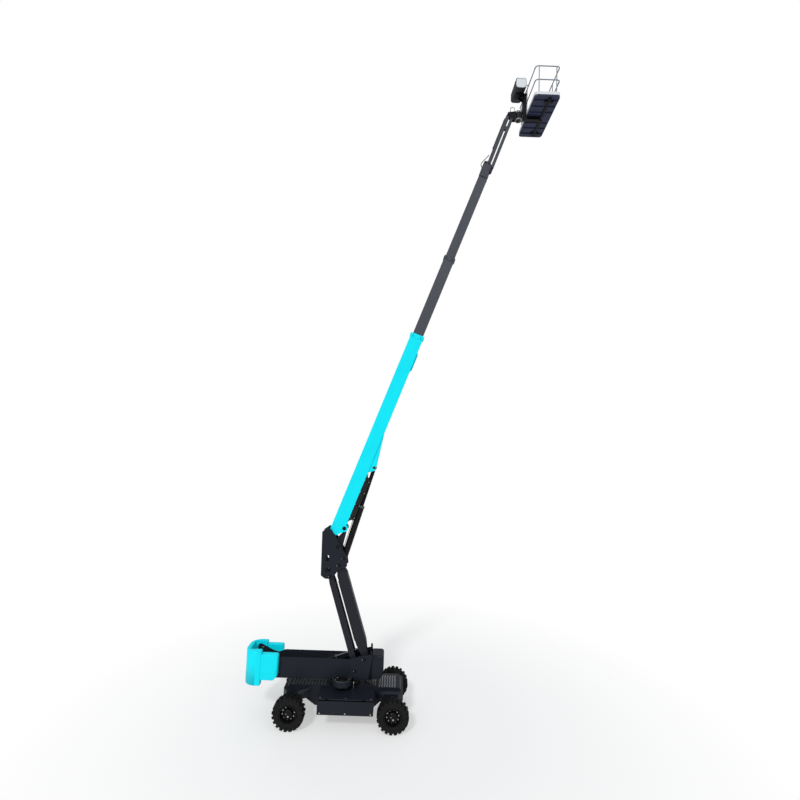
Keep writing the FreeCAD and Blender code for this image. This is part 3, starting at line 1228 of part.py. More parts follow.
def finished_parts():
    """Bodies and booleans that nothing else uses, each one a node."""
    used = set()
    for item in doc.Objects:
        if item.TypeId == "Part::MultiFuse":
            used.update(piece.Name for piece in item.OutList)
    kinds = ("PartDesign::Body", "Part::MultiFuse")
    return [item for item in doc.Objects if item.TypeId in kinds and item.Name not in used]


def check_and_export():
    doc.recompute()
    for item in doc.Objects:
        if "Invalid" in item.State or "Error" in item.State:
            raise RuntimeError(f"{item.Label} is {item.State}")
    parts = finished_parts()
    for item in parts:
        if item.Shape.isNull() or not item.Shape.isValid():
            raise RuntimeError(f"{item.Label} has no valid shape")
    os.makedirs("parts", exist_ok=True)
    for item in parts:
        item.Shape.exportStep(f"parts/{item.Label}.step")
        print(f"{item.Label}: {len(item.Shape.Solids)} solid, {item.Shape.Volume / 1e9:.4f} m3")


build()
check_and_export()
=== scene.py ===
"""Boom lift: paint, tyres, fasteners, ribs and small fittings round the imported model."""
import math

import bmesh
import bpy
from mathutils import Matrix, Vector
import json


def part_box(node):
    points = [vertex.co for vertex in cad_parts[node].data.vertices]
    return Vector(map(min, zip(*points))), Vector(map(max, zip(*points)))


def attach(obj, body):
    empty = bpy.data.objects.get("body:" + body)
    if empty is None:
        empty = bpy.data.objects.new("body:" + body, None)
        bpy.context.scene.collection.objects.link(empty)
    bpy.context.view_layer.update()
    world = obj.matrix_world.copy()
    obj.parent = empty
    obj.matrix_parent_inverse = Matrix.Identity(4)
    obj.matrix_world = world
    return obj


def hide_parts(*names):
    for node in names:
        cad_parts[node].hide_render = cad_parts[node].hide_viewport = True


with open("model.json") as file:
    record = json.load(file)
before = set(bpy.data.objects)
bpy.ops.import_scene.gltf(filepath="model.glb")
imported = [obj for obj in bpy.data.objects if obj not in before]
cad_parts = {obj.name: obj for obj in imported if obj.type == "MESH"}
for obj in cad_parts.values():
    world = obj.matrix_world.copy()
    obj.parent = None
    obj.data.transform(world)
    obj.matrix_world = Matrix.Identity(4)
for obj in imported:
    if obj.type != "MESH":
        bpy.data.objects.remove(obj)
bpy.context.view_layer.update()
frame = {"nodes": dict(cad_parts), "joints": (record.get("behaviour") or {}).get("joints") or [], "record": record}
NODES = frame["nodes"]
SIDES = ((-1, "right"), (1, "left"))

# ---- finishes


def shader(name):
    """New material with its node tree and its principled shader."""
    mat = bpy.data.materials.new(name)
    mat.use_nodes = True
    tree = mat.node_tree
    return mat, tree, tree.nodes["Principled BSDF"]


def fill(tree, node, **inputs):
    """Set or link a node's inputs; an underscore stands for a space."""
    for key, value in inputs.items():
        socket = node.inputs[key.replace("_", " ")]
        if isinstance(value, bpy.types.NodeSocket):
            tree.links.new(value, socket)
        else:
            socket.default_value = value
    return node


def add(tree, kind, operation=None, **inputs):
    """New node with its operation and some inputs set or linked."""
    node = tree.nodes.new(kind)
    if operation:
        node.operation = operation
    return fill(tree, node, **inputs)


def worked(tree, operation, *values):
    """Result of a sum on numbers or on other nodes' results."""
    node = add(tree, "ShaderNodeMath", operation)
    for socket, value in zip(node.inputs, values):
        if isinstance(value, float):
            socket.default_value = value
        else:
            tree.links.new(value, socket)
    return node.outputs[0]


def object_noise(tree, scale, detail=4.0, rough=0.55):
    """Noise on Object coordinates, so it stays on the piece."""
    where = add(tree, "ShaderNodeTexCoord").outputs["Object"]
    noise = add(tree, "ShaderNodeTexNoise", Vector=where, Scale=scale, Detail=detail, Roughness=rough)
    return noise.outputs["Fac"]


def remap(tree, source, low=0.0, high=1.0):
    """Stretch the middle of a noise's range over low to high."""
    spread = add(tree, "ShaderNodeMapRange", Value=source, From_Min=0.3, From_Max=0.7,
                 To_Min=low, To_Max=high)
    return spread.outputs["Result"]


def blend_colours(tree, factor, first, second):
    """Mix of two colours, either of which may come from another node."""
    mix = add(tree, "ShaderNodeMix")
    mix.data_type = "RGBA"
    tree.links.new(factor, mix.inputs["Factor"])
    for socket, colour in (("A", first), ("B", second)):
        target = next(s for s in mix.inputs if s.name == socket and s.type == "RGBA")
        if isinstance(colour, tuple):
            target.default_value = (*colour, 1.0)
        else:
            tree.links.new(colour, target)
    return next(s for s in mix.outputs if s.type == "RGBA")


def mixed(tree, factor, first, second):
    """Mix of two shaders."""
    mix = add(tree, "ShaderNodeMixShader", Fac=factor)
    tree.links.new(first, mix.inputs[1])
    tree.links.new(second, mix.inputs[2])
    return mix.outputs[0]


def relief(tree, bsdf, height, strength, distance):
    """Fine bump from a noise."""
    bump = add(tree, "ShaderNodeBump", Height=height, Strength=strength, Distance=distance)
    fill(tree, bsdf, Normal=bump.outputs["Normal"])


def sprayed_paint(name, colour, shade, rough=0.4, coat=0.0, peel=0.02, dust=0.0, shine=0.25):
    """Sprayed coat: broad uneven tone, faint orange peel and some settled dust."""
    mat, tree, bsdf = shader(name)
    tint = blend_colours(tree, remap(tree, object_noise(tree, 1.3, 6.0)), colour, shade)
    if dust:
        settled = remap(tree, object_noise(tree, 9.0, 8.0, 0.7), 0.0, dust)
        tint = blend_colours(tree, settled, tint, (0.17, 0.165, 0.155))
    polish = remap(tree, object_noise(tree, 4.0, 5.0), rough - 0.05, rough + 0.09)
    fill(tree, bsdf, Base_Color=tint, Roughness=polish, Specular_IOR_Level=shine,
         Coat_Weight=coat, Coat_Roughness=0.12)
    relief(tree, bsdf, object_noise(tree, 130.0, 2.0), peel, 0.004)
    return mat


def bare_metal(name, colour, rough):
    """Metal with patches a quarter darker and an uneven polish."""
    mat, tree, bsdf = shader(name)
    darker = tuple(0.75 * c for c in colour)
    tint = blend_colours(tree, remap(tree, object_noise(tree, 6.0)), colour, darker)
    polish = remap(tree, object_noise(tree, 40.0, 3.0), rough - 0.06, rough + 0.1)
    fill(tree, bsdf, Metallic=1.0, Base_Color=tint, Roughness=polish)
    return mat


def tyre_rubber(name):
    """Matt black rubber, paler where dust sits in the fine grain."""
    mat, tree, bsdf = shader(name)
    patch = object_noise(tree, 5.0, 4.0)
    black = blend_colours(tree, remap(tree, patch), (0.004, 0.004, 0.0045), (0.011, 0.0105, 0.01))
    fill(tree, bsdf, Base_Color=black, Roughness=remap(tree, patch, 0.55, 0.8), Specular_IOR_Level=0.15)
    relief(tree, bsdf, object_noise(tree, 60.0, 6.0, 0.7), 0.25, 0.004)
    return mat


def moulded_plastic(name, colour):
    """Matt plastic or rubber with a fine grain and patches a quarter paler."""
    mat, tree, bsdf = shader(name)
    pale = tuple(min(1.0, 1.25 * c) for c in colour)
    tint = blend_colours(tree, remap(tree, object_noise(tree, 3.0)), colour, pale)
    fill(tree, bsdf, Base_Color=tint, Roughness=0.55)
    relief(tree, bsdf, object_noise(tree, 220.0, 2.0), 0.15, 0.002)
    return mat


BODY_PAINT = sprayed_paint("dark_grey_paint", (0.0145, 0.0172, 0.025), (0.0125, 0.015, 0.0215),
                           0.42, 0.02, dust=0.006, shine=0.12)
ARM_PAINT = sprayed_paint("arm_grey_paint", (0.0185, 0.0205, 0.027), (0.016, 0.018, 0.024),
                          0.42, 0.02, dust=0.006, shine=0.12)
BOOM_PAINT = sprayed_paint("light_blue_paint", (0.004, 0.83, 0.95), (0.0035, 0.77, 0.9),
                           0.36, 0.03, shine=0.12)
STAGE_PAINT = sprayed_paint("mid_grey_paint", (0.07, 0.076, 0.09), (0.06, 0.065, 0.078), 0.45)
JIB_PAINT = sprayed_paint("light_grey_paint", (0.056, 0.062, 0.074), (0.047, 0.052, 0.063), 0.45)
POD_PAINT = sprayed_paint("navy_paint", (0.011, 0.0132, 0.02), (0.0095, 0.0115, 0.0175),
                          0.34, 0.05, dust=0.004, shine=0.15)
BLACK_PAINT = sprayed_paint("black_paint", (0.004, 0.0042, 0.0048), (0.006, 0.006, 0.0066),
                            0.45, dust=0.004, shine=0.15)
DECK_PAINT = sprayed_paint("deck_navy_paint", (0.021, 0.026, 0.06), (0.017, 0.0215, 0.051), 0.5)
RAIL_PAINT = sprayed_paint("rail_paint", (0.27, 0.295, 0.36), (0.23, 0.252, 0.31), 0.4)
CREAM_PAINT = sprayed_paint("cream_paint", (0.75, 0.775, 0.8), (0.68, 0.705, 0.73), 0.5)
ROD_STEEL = bare_metal("rod_steel", (0.6, 0.61, 0.62), 0.16)
BOLT_STEEL = bare_metal("bolt_steel", (0.62, 0.62, 0.6), 0.28)
OILED_ROD = bare_metal("oiled_rod", (0.1, 0.1, 0.105), 0.3)
RIB_STEEL = bare_metal("rib_steel", (0.3, 0.31, 0.32), 0.45)
TYRE = tyre_rubber("tyre_rubber")
CONSOLE = moulded_plastic("console_plastic", (0.004, 0.0042, 0.005))
HOSE = moulded_plastic("hose_rubber", (0.006, 0.006, 0.0065))

FINISH = {name: finish for finish, names in (
    (POD_PAINT, "chassis_frame right_side_pod left_side_pod"),
    (BODY_PAINT, "front_deck_plate rear_deck_plate knuckle"),
    (BLACK_PAINT, "slewing_ring front_axle rear_axle track_rod right_steering_knuckle "
                  "left_steering_knuckle boom_cylinder_barrel boom_cylinder_rod "
                  "riser_cylinder_barrel jib_cylinder_barrel platform_carrier platform_mast"),
    (BOOM_PAINT, "rear_counterweight right_counterweight left_counterweight outer_boom "
                 "boom_cylinder_bracket"),
    (ARM_PAINT, "lower_arm lower_tie_link"),
    (OILED_ROD, "riser_cylinder_rod"),
    (ROD_STEEL, "jib_cylinder_rod"),
    (STAGE_PAINT, "middle_stage inner_stage"),
    (JIB_PAINT, "boom_head level_bracket jib_arm jib_tie_right jib_tie_left"),
    (DECK_PAINT, "platform_floor"),
    (RAIL_PAINT, "right_end_rails left_front_rails left_rear_rails front_side_rails rear_side_rails "
                 "platform_gate"),
    (CREAM_PAINT, "toe_boards"),
    (HOSE, "head_hose_right head_hose_left carrier_hose"),
    (CONSOLE, "control_console"),
) for name in names.split()}


def paint_nodes():
    """Give each carried-over node its finish."""
    for name, node in NODES.items():
        finish = FINISH.get(name, BLACK_PAINT if name.endswith("_rim") else BODY_PAINT)
        if name.endswith("_tyre"):
            finish = TYRE
        node.data.materials.clear()
        node.data.materials.append(finish)


# ---- places

JOINTS = {joint["name"]: joint for joint in frame["joints"]}
BODIES = frame["record"]["behaviour"]["bodies"]
SLEW_X = (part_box("slewing_ring")[0].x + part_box("slewing_ring")[1].x) / 2


def pivot(joint):
    """Where a hinge's axis stands in the middle plane."""
    at = Vector(JOINTS[joint]["pos_m"])
    return Vector((at.x, 0.0, at.z))


def lean(points, origin, way):
    """Move points or a mesh from a leaning piece's own (along, across, above) to the model."""
    way = Vector(way).normalized()
    turn = Matrix(((way.x, 0, -way.z), (0, 1, 0), (way.z, 0, way.x)))
    matrix = Matrix.Translation(origin) @ turn.to_4x4()
    if isinstance(points, bpy.types.Mesh):
        points.transform(matrix)
        return points
    return [matrix @ Vector(p) for p in points]


BOOM_WAY = Vector(JOINTS["middle_extend"]["axis"])
BOOM_FOOT = pivot("boom_luff")
BOOM = (BOOM_FOOT, BOOM_WAY)
RISER_WAY = pivot("knuckle_level") - pivot("riser_lift")
RISER = (pivot("riser_lift"), RISER_WAY)
JIB_WAY = pivot("carrier_level") - pivot("jib_lift")
JIB = (pivot("jib_lift"), JIB_WAY)


def on_boom(*points):
    """Points given along, across and above the boom from its foot pin."""
    return lean(points, *BOOM)


# ---- pieces


def piece(name, mesh, body):
    """Finished mesh as a piece that rides on a body."""
    item = bpy.data.objects.new(name, mesh)
    bpy.context.scene.collection.objects.link(item)
    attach(item, body)
    return item


LEAST_BEND = math.radians(0.3)
SMALL_FACE = 2e-4


def smooth(mesh, angle=35.0):
    """Shade round faces smooth and leave broad flat ones, so that eased edges alone catch the light."""
    mesh.shade_smooth()
    mesh.set_sharp_from_angle(angle=math.radians(angle))
    work = bmesh.new()
    work.from_mesh(mesh)
    for face in work.faces:
        bends = [edge.calc_face_angle(0.0) for edge in face.edges if len(edge.link_faces) == 2]
        across = [other for edge in face.edges for other in edge.link_faces if other is not face]
        area = face.calc_area()
        areas = [other.calc_area() for other in across]
        curved = any(LEAST_BEND < bend < math.radians(angle) and other > 0.3 * area
                     for bend, other in zip(bends, areas))
        face.smooth = curved or area < SMALL_FACE or bool(bends) and area < max(areas) * 0.15
    work.to_mesh(mesh)
    work.free()


def made(work, name, angle=35.0, material=None):
    """Mesh from a bmesh with its faces turned outwards."""
    bmesh.ops.recalc_face_normals(work, faces=work.faces)
    mesh = bpy.data.meshes.new(name)
    work.to_mesh(mesh)
    work.free()
    smooth(mesh, angle)
    if material:
        mesh.materials.append(material)
    return mesh


def fitting(name, body, finish, *shapes, angle=30.0, lie=None, slot=None):
    """Piece built up from (function, values) shapes, laid along a leaning part when one is given."""
    work = bmesh.new()
    for shape, *values in shapes:
        shape(work, *values)
    mesh = made(work, name, angle, finish)
    return piece(name, lean(mesh, *lie) if lie else mesh, body)


def prism(work, outline, low, high, axis="Y", bevel=0.0, segments=2):
    """Add a plate with a closed outline between two planes across an axis."""
    low, high = sorted((low, high))
    order = {"X": lambda a, b, c: (c, a, b), "Y": lambda a, b, c: (a, c, b),
             "Z": lambda a, b, c: (a, b, c)}[axis]
    near = [work.verts.new(order(a, b, low)) for a, b in outline]
    far = [work.verts.new(order(a, b, high)) for a, b in outline]
    faces = [work.faces.new(near), work.faces.new(far[::-1])]
    count = len(outline)
    for k in range(count):
        after = (k + 1) % count
        faces.append(work.faces.new((near[k], near[after], far[after], far[k])))
    if bevel:
        edges = list(dict.fromkeys(edge for face in faces for edge in face.edges))
        bmesh.ops.bevel(work, geom=edges, offset=bevel, segments=segments, affect="EDGES",
                        clamp_overlap=True)


def block(work, low, high, bevel=0.0):
    """Add a box between two opposite corners, in whatever order they come."""
    low, high = zip(*(sorted(pair) for pair in zip(low, high)))
    outline = [(low[0], low[2]), (high[0], low[2]), (high[0], high[2]), (low[0], high[2])]
    prism(work, outline, low[1], high[1], "Y", bevel)


def plain_disc(back, front, radius):
    """Outline for turned: a disc or stub with square edges."""
    return [(front, 0.0), (front, radius), (back, radius), (back, 0.0)]


def domed_disc(back, straight, front, radius, tip):
    """Outline for turned: a disc or stub that narrows from radius to tip at its front."""
    return [(front, 0.0), (front, tip), (straight, radius), (back, radius), (back, 0.0)]


def full_turn(steps):
    """Equal angles round a circle."""
    return [2 * math.pi * k / steps for k in range(steps)]


def skin(work, sections):
    """Join rings of as many corners each, one after another, and close both ends."""
    for here, there in zip(sections, sections[1:]):
        for k in range(len(here)):
            after = (k + 1) % len(here)
            work.faces.new((here[k], here[after], there[after], there[k]))
    work.faces.new(sections[0][::-1])
    work.faces.new(sections[-1])


def turned(work, profile, centre=(0, 0, 0), axis=(0, 1, 0), steps=48):
    """Add an outline of (along, radius) turned about an axis; ends at radius 0 are closed."""
    axis = Vector(axis).normalized()
    first = axis.orthogonal().normalized()
    second = axis.cross(first)
    centre = Vector(centre)
    columns = []
    spokes = [math.cos(a) * first + math.sin(a) * second for a in full_turn(steps)]
    for along, radius in profile:
        foot = centre + along * axis
        if radius < 1e-6:
            columns.append([work.verts.new(foot)] * steps)
        else:
            columns.append([work.verts.new(foot + radius * spoke) for spoke in spokes])
    closed = profile[0][1] > 1e-6
    pairs = list(zip(columns, columns[1:])) + ([(columns[-1], columns[0])] if closed else [])
    for here, there in pairs:
        for k in range(steps):
            after = (k + 1) % steps
            corners = []
            for vert in (here[k], here[after], there[after], there[k]):
                if vert not in corners:
                    corners.append(vert)
            if len(corners) > 2:
                work.faces.new(corners)


def tube(work, points, radius, steps=12):
    """Add a round tube through points, with flat ends."""
    rings = []
    count = len(points)
    points = [Vector(p) for p in points]
    first = None
    for k, point in enumerate(points):
        way = (points[min(k + 1, count - 1)] - points[max(k - 1, 0)]).normalized()
        first = way.orthogonal() if first is None else first - first.dot(way) * way
        first.normalize()
        second = way.cross(first)
        rings.append([work.verts.new(point + radius * (math.cos(a) * first + math.sin(a) * second))
                      for a in full_turn(steps)])
    skin(work, rings)


def round_corners(points, radius, steps=6):
    """Closed outline with its corners rounded."""
    result = []
    count = len(points)
    for k, here in enumerate(points):
        here = Vector(here)
        before, after = Vector(points[k - 1]), Vector(points[(k + 1) % count])
        into, out = (before - here).normalized(), (after - here).normalized()
        half = into.angle(out) / 2
        reach = min(radius / math.tan(half), 0.48 * (before - here).length, 0.48 * (after - here).length)
        start, end = here + into * reach, here + out * reach
        for j in range(steps + 1):
            t = j / steps
            result.append(tuple((1 - t) ** 2 * start + 2 * t * (1 - t) * here + t ** 2 * end))
    return result


def softened(name, width):
    """Copy of a node's solid with its sharp outer edges eased, which stands for that node."""
    work = bmesh.new()
    work.from_mesh(NODES[name].data)
    bmesh.ops.remove_doubles(work, verts=work.verts, dist=1e-5)
    bmesh.ops.dissolve_limit(work, angle_limit=math.radians(0.4), verts=work.verts, edges=work.edges)
    bmesh.ops.recalc_face_normals(work, faces=work.faces)
    sharp = [edge for edge in work.edges if len(edge.link_faces) == 2 and edge.is_convex
             and edge.calc_face_angle(0.0) > math.radians(30.0)]
    bmesh.ops.bevel(work, geom=sharp, offset=width, segments=2, affect="EDGES", clamp_overlap=True)
    mesh = made(work, name + "_eased", 40.0, FINISH.get(name, BODY_PAINT))
    body = next(body for body, names in BODIES.items() if name in names)
    item = piece(name + "_eased", mesh, body)
    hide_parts(name)


# ---- repeated shapes


def new_tree(name, **sizes):
    """Node group with a geometry way in and out, its sizes and its finish as named inputs."""
    tree = bpy.data.node_groups.new(name, "GeometryNodeTree")
    for way in ("INPUT", "OUTPUT"):
        tree.interface.new_socket(name="Geometry", in_out=way, socket_type="NodeSocketGeometry")
    for key, default in sizes.items():
        kind = "NodeSocketInt" if isinstance(default, int) else "NodeSocketFloat"
        socket = tree.interface.new_socket(name=key.replace("_", " "), in_out="INPUT", socket_type=kind)
        socket.default_value = default
    tree.interface.new_socket(name="Finish", in_out="INPUT", socket_type="NodeSocketMaterial")
    return tree, add(tree, "NodeGroupInput").outputs


def planted(tree, source, points, shape, turn=None):
    """Put the shape on every point and give the real result its finish, as every tree here ends."""
    placed = add(tree, "GeometryNodeInstanceOnPoints", Points=points, Instance=shape)
    if turn is not None:
        fill(tree, placed, Rotation=turn)
    real = add(tree, "GeometryNodeRealizeInstances", Geometry=placed.outputs[0])
    paint = add(tree, "GeometryNodeSetMaterial", Geometry=real.outputs[0], Material=source["Finish"])
    add(tree, "NodeGroupOutput", Geometry=paint.outputs[0])
    return tree


def bolts_tree():
    """Hexagon head on a washer at every point, turned to the point's stand."""
    tree, source = new_tree("bolts_on_points", Head_Radius=0.02, Head_Height=0.012, Washer=1.5)
    radius, height = source["Head Radius"], source["Head Height"]
    wide = worked(tree, "MULTIPLY", radius, source["Washer"])
    thin = worked(tree, "MULTIPLY", height, 0.35)
    head = add(tree, "GeometryNodeMeshCylinder", Vertices=6, Radius=radius, Depth=height)
    washer = add(tree, "GeometryNodeMeshCylinder", Vertices=16, Radius=wide, Depth=thin)
    rise = add(tree, "ShaderNodeCombineXYZ", Z=worked(tree, "MULTIPLY", height, 0.6))
    raised = add(tree, "GeometryNodeTransform", Geometry=head.outputs["Mesh"],
                 Translation=rise.outputs[0])
    join = add(tree, "GeometryNodeJoinGeometry")
    for part in (raised.outputs[0], washer.outputs["Mesh"]):
        tree.links.new(part, join.inputs[0])
    stand = add(tree, "GeometryNodeInputNamedAttribute", Name="stand")
    stand.data_type = "FLOAT_VECTOR"
    align = add(tree, "FunctionNodeAlignRotationToVector", Vector=stand.outputs["Attribute"])
    align.axis = "Z"
    return planted(tree, source, source["Geometry"], join.outputs[0], align.outputs[0])


def row_tree():
    """A shape repeated along a straight line."""
    tree, source = new_tree("shapes_in_a_row", Count=10, Step_X=0.0, Step_Y=0.0)
    step = add(tree, "ShaderNodeCombineXYZ", X=source["Step X"], Y=source["Step Y"])
    line = add(tree, "GeometryNodeMeshLine", Count=source["Count"], Offset=step.outputs[0])
    return planted(tree, source, line.outputs["Mesh"], source["Geometry"])


def round_tree():
    """A shape repeated round the Y axis, for tyre lugs."""
    tree, source = new_tree("shapes_round_a_hub", Count=24, Start=0.0)
    points = add(tree, "GeometryNodePoints", Count=source["Count"])
    index = add(tree, "GeometryNodeInputIndex").outputs[0]
    share = worked(tree, "DIVIDE", index, source["Count"])
    angles = add(tree, "ShaderNodeCombineXYZ",
                 Y=worked(tree, "MULTIPLY_ADD", share, 2.0 * math.pi, source["Start"]))
    return planted(tree, source, points.outputs[0], source["Geometry"], angles.outputs[0])


BOLTS = bolts_tree()
ROW = row_tree()
ROUND = round_tree()


def grown(mesh, tree, **settings):
    """Plain mesh that a tree makes from a mesh, with its named inputs set."""
    holder = bpy.data.objects.new("holder", mesh)
    bpy.context.scene.collection.objects.link(holder)
    modifier = holder.modifiers.new("grow", "NODES")
    modifier.node_group = tree
    known = {s.name: s.identifier for s in tree.interface.items_tree if s.in_out == "INPUT"}
    for key, value in settings.items():
        modifier[known[key.replace("_", " ")]] = value
    bpy.context.view_layer.update()
    result = bpy.data.meshes.new_from_object(holder.evaluated_get(bpy.context.evaluated_depsgraph_get()))
    holder.modifiers.clear()
    bpy.data.objects.remove(holder)
    if "Finish" in settings:
        result.materials.clear()
        result.materials.append(settings["Finish"])
        result.polygons.foreach_set("material_index", [0] * len(result.polygons))
    return result


def bolt_set(name, body, spots, radius, height, finish=BOLT_STEEL, washer=1.5):
    """Bolts at (place, outward direction) pairs."""
    mesh = bpy.data.meshes.new(name + "_points")
    mesh.from_pydata([tuple(place) for place, _ in spots], [], [])
    stand = mesh.attributes.new("stand", "FLOAT_VECTOR", "POINT")
    for k, (_, out) in enumerate(spots):
        stand.data[k].vector = Vector(out).normalized()
    result = grown(mesh, BOLTS, Head_Radius=radius, Head_Height=height, Washer=washer, Finish=finish)
    return piece(name, result, body)


def ring_of(centre, axis, radius, count, start=0.0):
    """Places on a circle round an axis, each with the axis as its stand."""
    axis = Vector(axis).normalized()
    first = axis.orthogonal().normalized()
    second = axis.cross(first)
    angles = [start + a for a in full_turn(count)]
    return [(Vector(centre) + radius * (math.cos(a) * first + math.sin(a) * second), axis)
            for a in angles]


def join_meshes(name, meshes):
    """One mesh from several, each keeping its first material."""
    work = bmesh.new()
    materials = []
    for mesh in meshes:
        start = len(work.faces)
        work.from_mesh(mesh)
        work.faces.ensure_lookup_table()
        own = mesh.materials[0]
        if own not in materials:
            materials.append(own)
        for face in work.faces[start:]:
            face.material_index = materials.index(own)
    out = bpy.data.meshes.new(name)
    work.to_mesh(out)
    work.free()
    for material in materials:
        out.materials.append(material)
    return out


# ---- wheels

LUG_COUNT = 20


def tyre(label):
    """Off-road tyre: round carcass with two staggered rows of slanted lugs."""
    low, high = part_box(label + "_tyre")
    middle = (low + high) / 2
    outer = (high.z - low.z) / 2
    half = (high.y - low.y) / 2
    bead = 0.292
    tread = outer - 0.045
    side = [(-half + 0.035, bead), (-half + 0.008, bead + 0.03), (-half + 0.012, bead + 0.045),
            (-half, bead + 0.09), (-half + 0.001, tread - 0.09), (-half + 0.016, tread - 0.035),
            (-half + 0.05, tread - 0.006), (-half + 0.1, tread)]
    profile = side + [(0.0, tread + 0.004)] + [(-y, r) for y, r in reversed(side)]
    work = bmesh.new()
    turned(work, profile, steps=96)
    meshes = [made(work, label + "_carcass", 35.0, TYRE)]
    for hand, start in ((-1, 0.0), (1, math.pi / LUG_COUNT)):
        lug = tread_lug(half, tread, outer, hand)
        meshes.append(grown(lug, ROUND, Count=LUG_COUNT, Start=start, Finish=TYRE))
    mesh = join_meshes(label + "_tread", meshes)
    mesh.transform(Matrix.Translation(middle))
    item = piece(label + "_tread", mesh, label + "_wheel")
    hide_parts(label + "_tyre")


def tread_lug(half, tread, outer, hand):
    """One slanted tread block that wraps from the middle over the shoulder."""
    pitch = 2 * math.pi / LUG_COUNT
    # Across the tyre: place, foot radius, top radius, and slant and half width as shares of the pitch.
    rows = [(-0.015, tread - 0.01, outer - 0.002, 0.0, 0.19), (0.06, tread - 0.01, outer, 0.1, 0.21),
            (half - 0.05, tread - 0.02, outer, 0.32, 0.25),
            (half - 0.014, tread - 0.05, outer - 0.014, 0.38, 0.27),
            (half, tread - 0.085, outer - 0.05, 0.4, 0.26),
            (half - 0.003, tread - 0.13, outer - 0.115, 0.4, 0.2)]
    work = bmesh.new()
    sections = []
    for y, r_low, r_high, slant, width in rows:
        ring = []
        for r, share in ((r_low, -1.15), (r_high, -1.0), (r_high, 1.0), (r_low, 1.15)):
            a = (slant + share * width) * pitch
            ring.append(work.verts.new((r * math.sin(a), hand * y, r * math.cos(a))))
        sections.append(ring)
    skin(work, sections)
    bmesh.ops.bevel(work, geom=list(work.edges), offset=0.004, segments=1, affect="EDGES")
    return made(work, "tread_lug", 30.0)


def wheel_fittings(label, side):
    """Studs round the planetary hub, wheel nuts in the dish, lock ring and hub plugs."""
    low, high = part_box(label + "_rim")
    middle = (low + high) / 2
    out = Vector((0, side, 0))
    body = label + "_wheel"
    cover = 0.151

    def face(depth, x=0.0, z=0.0):
        return Vector((middle.x + x, middle.y + side * depth, middle.z + z))

    studs, nuts = ring_of(face(0.131), out, 0.127, 10, 0.2), ring_of(face(0.021), out, 0.2, 10)
    bolt_set(label + "_hub_studs", body, studs, 0.0145, 0.03, BLACK_PAINT)
    bolt_set(label + "_wheel_nuts", body, nuts, 0.018, 0.028, washer=1.25)
    bolt_set(label + "_hub_plugs", body, [(face(cover, 0.012, -0.045), out)], 0.03, 0.02, washer=1.2)
    bolt_set(label + "_hub_filler", body, [(face(cover, -0.06, 0.03), out)], 0.014, 0.014)
    lid = [(0.0, 0.0), (0.012, 0.0), (0.012, 0.085), (0.0, 0.095)]
    lock = [(-0.008, 0.262), (0.012, 0.262), (0.012, 0.272), (-0.008, 0.276)]
    fitting(label + "_hub_cover", body, BLACK_PAINT, (turned, lid, face(0.15), out),
            (turned, lock, face(0.166), out, 96), angle=35.0, slot="rim_paint")


# ---- chassis


def deck_rib(length, width, height, wave):
    """Half-round rib that lies across the deck in a slow wave."""
    work = bmesh.new()
    arc = [(width / 2 * math.cos(a), height * math.sin(a)) for a in (math.pi * k / 5 for k in range(6))]
    steps = max(2, int(length / 0.03))
    rows = []
    for k in range(steps + 1):
        y = -length / 2 + length * k / steps
        shift = wave * math.sin(2 * math.pi * y / 0.26)
        rows.append([work.verts.new((x + shift, y, z)) for x, z in arc])
    skin(work, rows)
    return made(work, "deck_rib")


def decks():
    """Ribs across the decks, shorter ones where the front deck narrows."""
    width, height, wave, pitch = 0.05, 0.012, 0.01, 0.088
    low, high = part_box("front_deck_plate")
    start = low.x + 0.5
    rib = deck_rib(high.y - low.y - 0.03, width, height, wave)
    mesh = grown(rib, ROW, Count=int((high.x - start) / pitch), Step_X=pitch, Finish=RIB_STEEL)
    mesh.transform(Matrix.Translation((start + 0.03, 0, high.z)))
    piece("front_deck_ribs", mesh, "chassis")
    meshes = []
    for k in range(4):
        x = low.x + 0.11 + pitch * k
        half = 0.05 + 0.35 * (x - low.x) / 0.46
        short = deck_rib(2 * half - 0.05, width, height, wave)
        short.transform(Matrix.Translation((x, 0, high.z)))
        short.materials.append(RIB_STEEL)
        meshes.append(short)
    piece("front_deck_short_ribs", join_meshes("front_deck_short_ribs", meshes), "chassis")
    low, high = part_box("rear_deck_plate")
    pitch = 0.11
    count = int((high.x - low.x - 0.12) / pitch) + 1
    mesh = grown(deck_rib(0.62, 0.055, height, 0.0), ROW, Count=count, Step_X=pitch, Finish=RIB_STEEL)
    mesh.transform(Matrix.Translation((low.x + 0.08, -0.05, high.z)))
    piece("rear_deck_ribs", mesh, "chassis")


